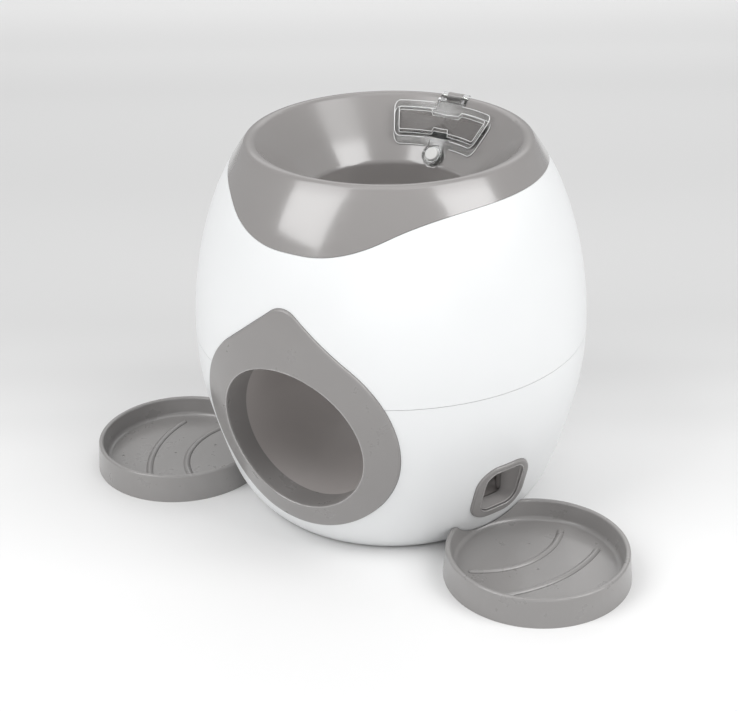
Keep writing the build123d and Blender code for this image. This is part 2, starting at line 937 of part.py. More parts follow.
with BuildPart() as upper_shell:
    add(skin_band(parting_z + seam_gap / 2, body_top - crest_round))
    add(above_seam(-seam_gap / 2), mode=Mode.SUBTRACT)
    add(seam_lip())
    extrude(to_extrude=bezel_hole, amount=reach, mode=Mode.SUBTRACT)

with BuildPart() as lower_shell:
    # Ledge that the base plate is screwed to
    with Locations((0, 0, plate_top)):
        Cylinder(reach, ledge_thickness, align=low)
        Cylinder(ledge_inner_r, ledge_thickness, align=low, mode=Mode.SUBTRACT)
    with Locations(*base_screw_points):
        Cylinder(boss_r, boss_top - plate_top, align=low)
        Cylinder(screw_r + thread_gap, screw_length, align=low, mode=Mode.SUBTRACT)
    add(barrel(wall - fuse), mode=Mode.INTERSECT)
    add(skin_band(rim_bottom, parting_z - seam_gap / 2))
    add(parting_lip())
    extrude(to_extrude=bezel_hole, amount=reach, mode=Mode.SUBTRACT)
    for side in (-1, 1):
        with BuildSketch(treat_port_plane(side)):
            RectangleRounded(
                treat_bezel_width + 2 * fit_gap,
                treat_bezel_height + 2 * fit_gap,
                treat_bezel_corner + fit_gap,
            )
        extrude(amount=reach, mode=Mode.SUBTRACT)
        # Slot in the rim for the tray's tongue
        with BuildSketch(tray_plane(side)):
            with Locations((-hypot(tray_x, tray_y), 0)):
                Rectangle(
                    tongue_outer_r + fuse,
                    tongue_width + 2 * tongue_slot_gap,
                    align=(Align.MIN, Align.CENTER),
                )
        extrude(amount=base_z, mode=Mode.SUBTRACT)

with BuildPart() as base_plate:
    with Locations((0, 0, base_z)):
        Cylinder(base_r, base_thickness, align=low)
    # Rails that guide the trays' tongues
    for side in (-1, 1):
        with BuildSketch(tray_plane(side).offset(tongue_z)):
            with Locations((-hypot(tray_x, tray_y), 0)):
                rail_middle = tongue_width / 2 + tongue_slot_gap + rail_width / 2
                for edge in (-1, 1):
                    with Locations((rail_inner_r, edge * rail_middle)):
                        Rectangle(rail_outer_r - rail_inner_r, rail_width, align=(Align.MIN, Align.CENTER))
        extrude(amount=base_z - tongue_z + fuse)
    with Locations(*base_screw_points, *stand_points, *left_stand_points, *ball_stand_points):
        Hole(screw_r + screw_hole_gap)

with BuildPart() as feet:
    with Locations(*[place(pad_ring_r, angle, 0) for angle in pad_angles]):
        Cylinder(pad_r, base_z, align=low)
    Cylinder(pad_centre_r, base_z, align=low)
    chamfer(feet.edges().group_by(Axis.Z)[0], pad_edge)

with BuildPart() as base_screws:
    with Locations(*[(x, y, base_z) for x, y, _ in base_screw_points]):
        add(big_screw)


# ---------------------------------------------------------------------------------------------------------
# Bowl
# ---------------------------------------------------------------------------------------------------------

with BuildPart() as bowl:
    # Screw bosses below the cone, and the block that carries the lid's hinge
    with Locations(*ear_points, *hopper_ear_points):
        Cylinder(boss_r, reach, align=low)
    with Locations((0, hinge_block_start_y, hinge_block_bottom)):
        Box(2 * hinge_block_half, reach, reach, align=(Align.CENTER, Align.MIN, Align.MIN))
    add(funnel_body(wall - fuse), mode=Mode.INTERSECT)
    add(funnel_skin())
    # Only the skirt above the wavy seam stays, with the funnel inside it
    add(skirt_keep(), mode=Mode.INTERSECT)
    extrude(to_extrude=mouth_outline(), amount=reach, mode=Mode.SUBTRACT)
    add(catch_disc(recess_r, -recess_depth, button_top), mode=Mode.SUBTRACT)
    with BuildSketch(catch_plane(-hook_depth - fit_gap)):
        Rectangle(hook_width + 2 * sweep_gap, hook_thickness + 2 * sweep_gap)
    extrude(amount=hook_depth + sweep_gap, mode=Mode.SUBTRACT)
    # Notch in the crest for the lid's ears, with the fixed knuckle in its middle
    with Locations((0, hinge_notch_start_y, hinge_z - hinge_notch_depth)):
        Box(
            2 * hinge_notch_half,
            reach,
            reach,
            align=(Align.CENTER, Align.MIN, Align.MIN),
            mode=Mode.SUBTRACT,
        )
    with BuildSketch(Plane.YZ):
        with Locations((hinge_y, hinge_z)):
            Circle(hinge_knuckle_r)
            Rectangle(1.5 * hinge_knuckle_r, hinge_notch_depth + fuse, align=(Align.CENTER, Align.MAX))
    extrude(amount=hinge_knuckle_half, both=True)
    with BuildSketch(Plane.YZ):
        with Locations((hinge_y, hinge_z)):
            Circle(hinge_pin_r + running_gap)
    extrude(amount=hinge_notch_half, both=True, mode=Mode.SUBTRACT)
    with Locations(*ear_points, *hopper_ear_points):
        Cylinder(screw_r + thread_gap, screw_length, align=low, mode=Mode.SUBTRACT)


# ---------------------------------------------------------------------------------------------------------
# Lid, its hinge pin and its catch
# ---------------------------------------------------------------------------------------------------------

with BuildPart() as treat_lid:
    add(cone_slab(lid_lift, lid_lift + lid_rim_height))
    extrude(to_extrude=lid_outline(0), amount=reach, mode=Mode.INTERSECT)
    add(lid_pocket(), mode=Mode.SUBTRACT)
    add(lid_ring())
    # Web and ears of the hinge
    with BuildSketch(Plane.YZ):
        Polygon(*hinge_web, align=None)
        with Locations((hinge_y, hinge_z)):
            Circle(hinge_ear_r)
    extrude(amount=hinge_ear_half, both=True)
    with BuildSketch(Plane.YZ):
        with Locations((hinge_y, hinge_z)):
            Circle(hinge_knuckle_r + hinge_side_gap)
            Rectangle(
                2 * (hinge_knuckle_r + hinge_side_gap),
                2 * hinge_knuckle_r,
                align=(Align.CENTER, Align.MAX),
            )
    extrude(amount=hinge_knuckle_half + hinge_side_gap, both=True, mode=Mode.SUBTRACT)
    with BuildSketch(Plane.YZ):
        with Locations((hinge_y, hinge_z)):
            Circle(hinge_pin_r + running_gap)
    extrude(amount=hinge_notch_half, both=True, mode=Mode.SUBTRACT)
    # Neck and cup of the catch button, with the hook below it
    with BuildSketch(catch_plane(lid_lift)):
        Rectangle(catch_neck_width, catch_neck_length, align=(Align.CENTER, Align.MIN))
    extrude(amount=lid_rim_height)
    add(catch_disc(cup_r, cup_bottom, cup_top))
    with BuildSketch(catch_plane(-hook_depth)):
        Rectangle(hook_width, hook_thickness)
    extrude(amount=hook_depth + cup_bottom + fuse)
    add(catch_disc(button_flange_r + running_gap, cup_floor, button_lip), mode=Mode.SUBTRACT)
    add(catch_disc(button_r + running_gap, cup_floor, button_top), mode=Mode.SUBTRACT)

with BuildPart() as lid_hinge_pin:
    with BuildSketch(Plane.YZ):
        with Locations((hinge_y, hinge_z)):
            Circle(hinge_pin_r)
    extrude(amount=hinge_ear_half, both=True)

with BuildPart() as lid_button:
    add(catch_disc(button_flange_r, button_flange_bottom, button_flange_top))
    add(catch_disc(button_r, button_flange_bottom, button_top))
    press_axis = Axis(catch_plane(0).origin, catch_plane(0).z_dir)
    fillet(lid_button.edges().filter_by(GeomType.CIRCLE).sort_by(press_axis)[-1], button_edge)
    add(catch_disc(button_hollow_r, button_flange_bottom, button_hollow_top), mode=Mode.SUBTRACT)

with BuildPart() as lid_button_spring:
    spring_height = button_hollow_top - cup_floor - 2 * button_spring_wire_r
    with BuildLine() as coil:
        Helix(
            spring_height / button_spring_turns,
            spring_height,
            button_spring_r,
            center=catch_plane(cup_floor + button_spring_wire_r).origin,
            direction=catch_plane(0).z_dir,
        )
    with BuildSketch(Plane(origin=coil.line @ 0, z_dir=coil.line % 0)):
        Circle(button_spring_wire_r)
    sweep()


# ---------------------------------------------------------------------------------------------------------
# Ball chute and the ball port's bezel
# ---------------------------------------------------------------------------------------------------------

with BuildPart() as drop_tube:
    with Locations((0, 0, tube_joint_z)):
        Cylinder(chute_r + chute_wall, throat_bottom - tube_joint_z, align=low)
    # Socket round the throat, with ears for the bowl's screws
    with Locations((0, 0, throat_bottom)):
        Cylinder(throat_r + wall + fit_gap + socket_wall, chute_flange, align=high)
        Cylinder(throat_r + wall + fit_gap + socket_wall, socket_top - throat_bottom, align=low)
        Cylinder(throat_r + wall + fit_gap, socket_top - throat_bottom, align=low, mode=Mode.SUBTRACT)
    with Locations(*ear_points):
        Cylinder(ear_r, chute_flange, align=high)
    with PolarLocations(0, len(ear_angles), ear_angles[0], angular_range=270):
        with Locations((chute_r, 0, throat_bottom)):
            Box(ear_ring_r - chute_r, 2 * ear_r, chute_flange, align=(Align.MIN, Align.CENTER, Align.MAX))
    with Locations(*ear_points):
        Cylinder(screw_r + screw_hole_gap, chute_flange, align=high, mode=Mode.SUBTRACT)
    # Lugs for the paddle's shaft
    for side in (-1, 1):
        with BuildSketch(Plane.YZ.offset(side * (lug_inner + lug_thickness / 2))):
            with Locations((paddle_y, paddle_z)):
                Circle(lug_r)
            with Locations((lug_root_y, paddle_z)):
                Rectangle(paddle_y - lug_root_y, 2 * lug_r, align=(Align.MIN, Align.CENTER))
            with Locations((paddle_y, paddle_z)):
                Circle(paddle_shaft_r + running_gap, mode=Mode.SUBTRACT)
        extrude(amount=lug_thickness / 2, both=True)
    # Sleeve over the bend's top end
    with Locations((0, 0, tube_joint_z - sleeve_lap)):
        Cylinder(chute_r + chute_wall + fit_gap + socket_wall, sleeve_lap + socket_wall, align=low)
        Cylinder(chute_r + chute_wall + fit_gap, sleeve_lap, align=low, mode=Mode.SUBTRACT)
    add(ball_duct(chute_r, reach, -reach), mode=Mode.SUBTRACT)
    add(paddle_slot(), mode=Mode.SUBTRACT)

with BuildPart() as ball_chute:
    add(ball_duct(chute_r + chute_wall, tube_joint_z, chute_front_y))
    # Stands on the base plate, and the socket for the bezel's collar
    with Locations(*ball_stand_points):
        Cylinder(stand_r, ball_stand_top - plate_top, align=low)
    with BuildSketch(Plane.XZ.offset(-chute_front_y - socket_wall)):
        with Locations((0, port_z)):
            Circle(chute_r + chute_wall + fit_gap + socket_wall)
    extrude(amount=socket_wall + collar_lap)
    with BuildSketch(Plane.XZ.offset(-chute_front_y)):
        with Locations((0, port_z)):
            Circle(chute_r + chute_wall + fit_gap)
    extrude(amount=collar_lap, mode=Mode.SUBTRACT)
    add(ball_duct(chute_r, reach, -reach), mode=Mode.SUBTRACT)
    with Locations(*ball_stand_points):
        Cylinder(screw_r + thread_gap, screw_length, align=low, mode=Mode.SUBTRACT)
    add(paddle_slot(), mode=Mode.SUBTRACT)

with BuildPart() as port_bezel:
    add(bezel_plate())
    add(bezel_collar())
    with BuildSketch(Plane.XZ):
        with Locations((0, port_z)):
            Circle(chute_r)
    extrude(amount=reach, mode=Mode.SUBTRACT)
    mouth_edges = port_bezel.edges(Select.LAST).filter_by(GeomType.CIRCLE, reverse=True)
    fillet(mouth_edges.filter_by(GeomType.LINE, reverse=True), bezel_mouth_round)

with BuildPart() as chute_screws:
    stand_screw_points = stand_points + left_stand_points + ball_stand_points
    with Locations(*[(x, y, base_z) for x, y, _ in stand_screw_points]):
        add(big_screw)
    with Locations(*[(x, y, throat_bottom - chute_flange) for x, y, _ in ear_points]):
        add(big_screw)


# ---------------------------------------------------------------------------------------------------------
# Hopper, drum housing and diverter
# ---------------------------------------------------------------------------------------------------------

with BuildPart() as hopper:
    add(hopper_body(hopper_wall))
    with Locations(*hopper_ear_points):
        Box(2 * (hopper_ear_x - hopper_half), 2 * boss_r, hopper_flange, align=high)
    with Locations((0, neck_front_y - hopper_wall, hopper_bottom)):
        Box(
            2 * hopper_flange_half,
            hopper_flange_back_y - neck_front_y + hopper_wall,
            hopper_flange,
            align=(Align.CENTER, Align.MIN, Align.MIN),
        )
    add(funnel_body(wall + fit_gap), mode=Mode.INTERSECT)
    add(hopper_body(0), mode=Mode.SUBTRACT)
    with Locations((0, hinge_block_start_y - fit_gap, hinge_block_bottom - fit_gap)):
        Box(
            2 * (hinge_block_half + fit_gap),
            reach,
            reach,
            align=(Align.CENTER, Align.MIN, Align.MIN),
            mode=Mode.SUBTRACT,
        )
    with Locations(*hopper_ear_points):
        Cylinder(screw_r + screw_hole_gap, hopper_flange, align=high, mode=Mode.SUBTRACT)
    with Locations(*hopper_screw_points):
        Cylinder(small_screw_r + thread_gap, hopper_flange, align=low, mode=Mode.SUBTRACT)

with BuildPart() as drum_housing:
    with BuildSketch(Plane.YZ):
        with Locations((drum_y, drum_z)):
            Circle(housing_r + housing_wall)
        with Locations((neck_front_y - hopper_wall, drum_z)):
            Rectangle(
                neck_back_y - neck_front_y + 2 * hopper_wall,
                hopper_bottom - drum_z,
                align=(Align.MIN, Align.MIN),
            )
        with Locations((duct_front_y - duct_wall, duct_bottom)):
            Rectangle(
                duct_back_y - duct_front_y + 2 * duct_wall,
                duct_outer_top - duct_bottom,
                align=(Align.MIN, Align.MIN),
            )
    extrude(amount=housing_half + housing_wall, both=True)
    with Locations((0, neck_front_y - hopper_wall, hopper_bottom)):
        Box(
            2 * hopper_flange_half,
            hopper_flange_back_y - neck_front_y + hopper_wall,
            hopper_flange,
            align=(Align.CENTER, Align.MIN, Align.MAX),
        )
    with Locations((0, 0, hopper_bottom)):
        Box(reach, reach, reach, align=low, mode=Mode.SUBTRACT)
    with BuildSketch(Plane.YZ):
        with Locations((drum_y, drum_z)):
            Circle(housing_r)
        with Locations((neck_front_y, drum_z)):
            Rectangle(neck_back_y - neck_front_y, reach, align=(Align.MIN, Align.MIN))
        with Locations((duct_front_y, duct_bottom)):
            Rectangle(duct_back_y - duct_front_y, duct_top - duct_bottom, align=(Align.MIN, Align.MIN))
    extrude(amount=housing_half, both=True, mode=Mode.SUBTRACT)
    with BuildSketch(Plane.YZ):
        with Locations((drum_y, drum_z)):
            Circle(drum_shaft_r + running_gap)
    extrude(amount=reach, both=True, mode=Mode.SUBTRACT)
    with Locations(*hopper_screw_points):
        Cylinder(small_screw_r + screw_hole_gap, hopper_flange, align=high, mode=Mode.SUBTRACT)
    # Lugs for the flap's pin, with the ridge that parts the treats between them
    for wall_y in (duct_front_y - duct_wall, duct_back_y):
        with Locations((0, wall_y, flap_lug_bottom)):
            Box(
                2 * flap_lug_half,
                duct_wall,
                duct_bottom - flap_lug_bottom + fuse,
                align=(Align.CENTER, Align.MIN, Align.MIN),
            )
    with BuildSketch(Plane.XZ.offset(-duct_back_y)):
        Polygon(
            (0, ridge_top),
            (flap_lug_half, ridge_foot),
            (flap_lug_half, ridge_foot - ridge_wall),
            (0, ridge_top - ridge_wall),
            (-flap_lug_half, ridge_foot - ridge_wall),
            (-flap_lug_half, ridge_foot),
            align=None,
        )
    extrude(amount=duct_back_y - duct_front_y)
    with BuildSketch(Plane.XZ.offset(-duct_back_y)):
        with Locations(*stop_places):
            Circle(stop_r)
    extrude(amount=stop_length)
    with BuildSketch(Plane.XZ.offset(-duct_back_y - duct_wall)):
        with Locations((0, flap_z)):
            Circle(flap_pin_r + running_gap)
    extrude(amount=duct_back_y - duct_front_y + 2 * duct_wall, mode=Mode.SUBTRACT)

with BuildPart() as hopper_screws:
    with Locations(*[(x, y, z - hopper_flange) for x, y, z in hopper_screw_points]):
        add(small_screw)
    with Locations(*[(x, y, z - hopper_flange) for x, y, z in hopper_ear_points]):
        add(big_screw)

with BuildPart() as diverter_pin:
    with BuildSketch(Plane.XZ.offset(-duct_back_y - duct_wall)):
        with Locations((0, flap_z)):
            Circle(flap_pin_r)
    extrude(amount=duct_back_y - duct_front_y + 2 * duct_wall)

with BuildPart() as diverter_flap:
    with BuildSketch(Plane.XZ.offset(-duct_back_y + flap_end_gap)):
        with Locations((0, flap_z)):
            Circle(flap_hub_r)
            Rectangle(flap_length, flap_thickness, rotation=90 + flap_lean, align=(Align.MIN, Align.CENTER))
            Circle(flap_pin_r + running_gap, mode=Mode.SUBTRACT)
    extrude(amount=duct_back_y - duct_front_y - 2 * flap_end_gap)


# ---------------------------------------------------------------------------------------------------------
# Metering drum, paddle and their gears
# ---------------------------------------------------------------------------------------------------------

with BuildPart() as metering_drum:
    with BuildSketch(Plane.YZ):
        with Locations((drum_y, drum_z)):
            Circle(drum_r)
    extrude(amount=drum_half, both=True)
    with BuildSketch(Plane.XY.offset(drum_z + drum_r - pocket_depth)):
        with Locations((0, drum_y)):
            RectangleRounded(2 * pocket_half, pocket_width, pocket_round)
    extrude(amount=drum_r, mode=Mode.SUBTRACT)
    with BuildSketch(Plane.YZ):
        with Locations((drum_y, drum_z)):
            Circle(drum_shaft_r + thread_gap)
    extrude(amount=drum_half, both=True, mode=Mode.SUBTRACT)

with BuildPart() as drum_shaft:
    with BuildSketch(Plane.YZ.offset(drum_shaft_left)):
        with Locations((drum_y, drum_z)):
            Circle(drum_shaft_r)
    extrude(amount=shaft_right - drum_shaft_left)

with BuildPart() as drum_gear:
    with BuildSketch(Plane.YZ.offset(gear_left)):
        with Locations((drum_y, drum_z)):
            add(drum_gear_outline())
            Circle(drum_shaft_r + thread_gap, mode=Mode.SUBTRACT)
    extrude(amount=gear_width)

with BuildPart() as trigger_paddle:
    with BuildSketch(Plane.YZ):
        with Locations((paddle_y, paddle_z)):
            Rectangle(
                paddle_length,
                paddle_thickness,
                rotation=paddle_angle,
                align=(Align.MIN, Align.CENTER),
            )
    extrude(amount=paddle_half, both=True)
    fillet(trigger_paddle.edges().filter_by(Axis.X, reverse=True).group_by(Axis.Y)[0], paddle_tip_round)
    with BuildSketch(Plane.YZ):
        with Locations((paddle_y, paddle_z)):
            Circle(paddle_hub_r)
    extrude(amount=paddle_hub_half, both=True)
    with BuildSketch(Plane.YZ):
        with Locations((paddle_y, paddle_z)):
            Circle(paddle_shaft_r + thread_gap)
    extrude(amount=paddle_hub_half, both=True, mode=Mode.SUBTRACT)

with BuildPart() as paddle_shaft:
    with BuildSketch(Plane.YZ.offset(paddle_shaft_left)):
        with Locations((paddle_y, paddle_z)):
            Circle(paddle_shaft_r)
    extrude(amount=shaft_right - paddle_shaft_left)
    with BuildSketch(Plane.YZ.offset(paddle_shaft_left)):
        with Locations((paddle_y, paddle_z)):
            Circle(spring_collar_r)
    extrude(amount=spring_collar_length)
    with BuildSketch(Plane.YZ.offset(paddle_shaft_left)):
        with Locations((spring_peg_y, paddle_z + paddle_spring_r + paddle_spring_wire_r + spring_peg_r)):
            Circle(spring_peg_r)
    extrude(amount=spring_collar_length + spring_peg_length)

with BuildPart() as paddle_gear:
    with BuildSketch(Plane.YZ.offset(gear_left)):
        with Locations((paddle_y, paddle_z)):
            add(paddle_gear_outline())
            Circle(gear_hub_r)
            Circle(paddle_shaft_r + thread_gap, mode=Mode.SUBTRACT)
    extrude(amount=gear_width)

with BuildPart() as paddle_spring:
    spring_width = paddle_spring_right - paddle_spring_left
    with BuildLine() as turns:
        Helix(
            spring_width / paddle_spring_turns,
            spring_width,
            paddle_spring_r,
            center=(paddle_spring_left, paddle_y, paddle_z),
            direction=(1, 0, 0),
        )
    with BuildSketch(Plane(origin=turns.line @ 0, z_dir=turns.line % 0)):
        Circle(paddle_spring_wire_r)
    sweep()
    # One leg runs back under the collar's peg, the other forwards to the ball chute
    for coil_end, leg in ((turns.line @ 0, -paddle_spring_back_leg), (turns.line @ 1, paddle_spring_front_leg)):
        with BuildSketch(Plane.XZ.offset(-coil_end.Y)):
            with Locations((coil_end.X, coil_end.Z)):
                Circle(paddle_spring_wire_r)
        extrude(amount=leg)


# ---------------------------------------------------------------------------------------------------------
# Treat chutes, their bezels and the trays
# ---------------------------------------------------------------------------------------------------------

with BuildPart() as treat_chute_right:
    add(treat_channel(channel_width / 2 + channel_wall, channel_height, -channel_wall))
    for (angle, under), point in zip(stand_places, stand_points):
        with Locations(point):
            Cylinder(stand_r, under - plate_top, align=low)
        with BuildSketch(Plane.XY.offset(under - stand_rib_height)):
            with Locations((point[0], point[1])):
                Rectangle(stand_reach, stand_rib, rotation=angle, align=(Align.MIN, Align.CENTER))
        extrude(amount=stand_rib_height)
    add(treat_channel(channel_width / 2, 2 * channel_height, 0), mode=Mode.SUBTRACT)
    with Locations(*stand_points):
        Cylinder(screw_r + thread_gap, screw_length, align=low, mode=Mode.SUBTRACT)

with BuildPart() as treat_chute_left:
    add(treat_chute_right.part.mirror(Plane.YZ))

with BuildPart() as treat_port_bezel_right:
    add(treat_bezel(1))

with BuildPart() as treat_port_bezel_left:
    add(treat_bezel(-1))

with BuildPart() as side_tray_right:
    add(side_tray(1))

with BuildPart() as side_tray_left:
    add(side_tray_right.part.mirror(Plane.YZ))


# ---------------------------------------------------------------------------------------------------------
# Files
# ---------------------------------------------------------------------------------------------------------

nodes = {
    "upper_shell": upper_shell,
    "lower_shell": lower_shell,
    "base_plate": base_plate,
    "feet": feet,
    "base_screws": base_screws,
    "bowl": bowl,
    "treat_lid": treat_lid,
    "lid_hinge_pin": lid_hinge_pin,
    "lid_button": lid_button,
    "lid_button_spring": lid_button_spring,
    "drop_tube": drop_tube,
    "ball_chute": ball_chute,
    "port_bezel": port_bezel,
    "chute_screws": chute_screws,
    "hopper": hopper,
    "drum_housing": drum_housing,
    "hopper_screws": hopper_screws,
    "diverter_pin": diverter_pin,
    "diverter_flap": diverter_flap,
    "metering_drum": metering_drum,
    "drum_shaft": drum_shaft,
    "drum_gear": drum_gear,
    "trigger_paddle": trigger_paddle,
    "paddle_shaft": paddle_shaft,
    "paddle_gear": paddle_gear,
    "paddle_spring": paddle_spring,
    "treat_chute_right": treat_chute_right,
    "treat_chute_left": treat_chute_left,
    "treat_port_bezel_right": treat_port_bezel_right,
    "treat_port_bezel_left": treat_port_bezel_left,
    "side_tray_right": side_tray_right,
    "side_tray_left": side_tray_left,
}
for name, node in nodes.items():
    node.part.label = name
    export_step(node.part, f"parts/{name}.step")
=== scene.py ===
"""Ball-fed treat dispenser: finishes, detail pieces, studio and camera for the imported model."""

from math import asin, cos, hypot, pi, radians, sin, sqrt, tan

import bpy
from mathutils import Matrix, Vector


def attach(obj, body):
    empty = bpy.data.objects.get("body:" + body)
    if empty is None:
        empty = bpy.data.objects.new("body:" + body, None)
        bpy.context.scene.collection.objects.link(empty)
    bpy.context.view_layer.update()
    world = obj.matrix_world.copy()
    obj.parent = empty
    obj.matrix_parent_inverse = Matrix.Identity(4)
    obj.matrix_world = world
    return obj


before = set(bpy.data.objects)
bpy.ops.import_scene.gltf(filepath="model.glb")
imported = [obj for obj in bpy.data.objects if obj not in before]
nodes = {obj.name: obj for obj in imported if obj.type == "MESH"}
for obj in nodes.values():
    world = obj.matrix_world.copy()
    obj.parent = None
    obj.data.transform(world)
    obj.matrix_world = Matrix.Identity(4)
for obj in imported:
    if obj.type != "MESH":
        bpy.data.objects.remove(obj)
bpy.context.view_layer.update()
scene = bpy.context.scene

# Camera: the picture is 738 x 711 pixels
picture_width = 738
focal_pixels = 1655.83
camera_azimuth = radians(31.63)
camera_distance = 0.94579
camera_height = 0.56929
camera_pan = radians(0.868)
camera_tilt = radians(-26.925)
camera_roll = radians(-1.089)
sensor_width = 36.0
clip_near = 0.05
clip_far = 30.0

# Lamps: azimuth from the camera's and elevation in degrees; width, height and reach in metres; watts
lamps = {
    "left_softbox": (-60.5, 42, 0.97, 1.35, 1.7, 16.5),
    "right_softbox": (63.6, 42, 0.98, 1.35, 1.7, 17.5),
    "overhead_softbox": (0, 88, 1.6, 1.6, 2.2, 8),
    "front_softbox": (5, 8, 3.6, 0.8, 3.2, 19),
    "backdrop_softbox": (180, 40, 2.4, 0.8, 1.9, 6),
}
lamp_target = Vector((0, 0, 0.12))
world_strength = 0.42

# Floor paper: its lightness along the view, as a share of the way from near to far; the steps are
# painted light and shade, darker just behind the object and lighter again far behind
floor_half = 5.0
floor_near = -0.2
floor_far = 1.25
floor_roughness = 0.9
floor_specular = 0.1
painted_floor_shading = (
    (0.0, 0.76),
    (0.12, 0.745),
    (0.16, 0.755),
    (0.2, 0.71),
    (0.25, 0.65),
    (0.31, 0.605),
    (0.48, 0.615),
    (0.7, 0.675),
    (0.82, 0.745),
    (1.0, 0.89),
)

# Sizes of the moulded part, in metres, that the detail pieces follow; arcs are (radius, degrees)
body_r = 0.1229
widest_z = 0.116
upper_arcs = ((0.2366, 20.4), (0.144, 17.0))
lower_arcs = ((0.1887, 12.85), (0.4642, 5.93), (0.063, 31.08))
crest_round = 0.0045
cone_slope = radians(49.0)
bezel_proud = 0.0015
ball_port_z = 0.0842
ball_port_r = 0.048
ball_port_round = 0.0012
treat_port_azimuth = radians(68.2)
treat_port_z = 0.043
treat_mouth_width = 0.0286
treat_mouth_height = 0.031
treat_mouth_corner = 0.008
treat_mouth_rise = 0.00075
chute_mouth_width = 0.023
chute_mouth_height = 0.0165
chute_mouth_from_axis = 0.0955
chute_mouth_floor_z = 0.03
tray_x = 0.134
tray_y = -0.0535
tray_floor_top = 0.0055
tray_ribs = ((-0.058, 0.053, 42.0), (-0.073, 0.092, 25.0))  # centre, radius, half angle in degrees
lid_inner_r = 0.058
lid_outer_r = 0.0745
lid_middle_y = 0.066
lid_half_angle = radians(28.5)
lid_corner = 0.004
lid_foot = 0.0008
lid_top = 0.0041
lid_rim_width = 0.0032
lid_panel_top = 0.0025
lid_panel_corner = 0.0012
hinge_half = 0.0091
hinge_step_y = 0.0691
catch_cup_half = 0.008
catch_neck_half = 0.005
catch_neck_end_y = 0.0628

# Sizes of the detail pieces themselves, in metres
lip_bead_r = 0.0005
ball_lip_depth = 0.0005
ball_lip_points = 144
treat_lip_depth = 0.0002
treat_lip_grow = 0.0003
liner_skin = 0.0003
liner_depth = 0.0012
liner_corner = 0.004
liner_play = 0.0002
tray_rib_half = 0.0022
tray_rib_height = 0.0012
tray_rib_keel = 0.0004
rim_bead_r = 0.00026
rim_bead_inset = 0.0003
panel_bead_r = 0.00024
bead_sink = 0.0001
shade_sheet_skin = 0.0001

# Values that the finishes share
plastic_ior = 1.49
flow_scale = 22.0
polish_scale = 60.0
fine_grain_depth = 0.00003
grain_depth = 0.00004
grain_scale = 2200.0
joint_half_width = 0.00025
matt_ring_start = 0.057
matt_ring_end = 0.085
matt_ring_blend = 0.008
matt_ring_polish = 0.15


# ---------------------------------------------------------------------------
# Shared effects
# ---------------------------------------------------------------------------


def start_group(name, inputs, outputs):
    """Empty shader node group; inputs are (name, kind, value) and outputs are (name, kind)."""
    group = bpy.data.node_groups.new(name, "ShaderNodeTree")
    for title, kind, value in inputs:
        socket = group.interface.new_socket(title, in_out="INPUT", socket_type=kind)
        socket.default_value = value
    for title, kind in outputs:
        group.interface.new_socket(title, in_out="OUTPUT", socket_type=kind)
    return group, group.nodes.new("NodeGroupInput"), group.nodes.new("NodeGroupOutput")


def feed(tree, socket, value):
    """Set a socket to a number, or link another socket to it."""
    if isinstance(value, (int, float)):
        socket.default_value = value
    else:
        tree.links.new(value, socket)


def reckon(tree, operation, *values, clamp=False):
    """Math node on numbers or sockets; returns its result socket."""
    node = tree.nodes.new("ShaderNodeMath")
    node.operation = operation
    node.use_clamp = clamp
    for socket, value in zip(node.inputs, values):
        feed(tree, socket, value)
    return node.outputs[0]


def noise(tree, coordinates, scale, detail=2.0, roughness=0.5):
    """Noise texture on the given coordinates; returns its value socket."""
    texture = tree.nodes.new("ShaderNodeTexNoise")
    texture.inputs["Detail"].default_value = detail
    texture.inputs["Roughness"].default_value = roughness
    tree.links.new(coordinates, texture.inputs["Vector"])
    feed(tree, texture.inputs["Scale"], scale)
    return texture.outputs["Fac"]


def spread(tree, value, low, high, from_low=0.3, from_high=0.7, smooth=False):
    """Map a mask to a range; the limits are numbers or sockets."""
    mapping = tree.nodes.new("ShaderNodeMapRange")
    if smooth:
        mapping.interpolation_type = "SMOOTHSTEP"
    tree.links.new(value, mapping.inputs["Value"])
    limits = (("From Min", from_low), ("From Max", from_high), ("To Min", low), ("To Max", high))
    for title, limit in limits:
        feed(tree, mapping.inputs[title], limit)
    return mapping.outputs["Result"]


def shade_by(tree, colour, lightness):
    """Colour made lighter or darker by a mask round 1; returns its socket."""
    tint = tree.nodes.new("ShaderNodeHueSaturation")
    tree.links.new(colour, tint.inputs["Color"])
    tree.links.new(lightness, tint.inputs["Value"])
    return tint.outputs["Color"]


def moulded_skin_group():
    """Injection-moulded surface: flow mottle, a drifting polish and the mould's fine grain."""
    group, inlet, outlet = start_group(
        "moulded_skin",
        (
            ("Colour", "NodeSocketColor", (0.5, 0.5, 0.5, 1.0)),
            ("Mottle", "NodeSocketFloat", 0.03),
            ("Grain Scale", "NodeSocketFloat", grain_scale),
            ("Polished", "NodeSocketFloat", 0.15),
            ("Dull", "NodeSocketFloat", 0.25),
        ),
        (("Colour", "NodeSocketColor"), ("Roughness", "NodeSocketFloat"), ("Height", "NodeSocketFloat")),
    )
    place = group.nodes.new("ShaderNodeTexCoord").outputs["Object"]
    flow = spread(group, noise(group, place, flow_scale, detail=3.0), -1.0, 1.0)
    lightness = reckon(group, "MULTIPLY_ADD", flow, inlet.outputs["Mottle"], 1.0)
    group.links.new(shade_by(group, inlet.outputs["Colour"], lightness), outlet.inputs["Colour"])
    polish = noise(group, place, polish_scale, detail=4.0, roughness=0.6)
    roughness = spread(group, polish, inlet.outputs["Polished"], inlet.outputs["Dull"])
    group.links.new(roughness, outlet.inputs["Roughness"])
    grain = noise(group, place, inlet.outputs["Grain Scale"], detail=3.0, roughness=0.65)
    group.links.new(grain, outlet.inputs["Height"])
    return group


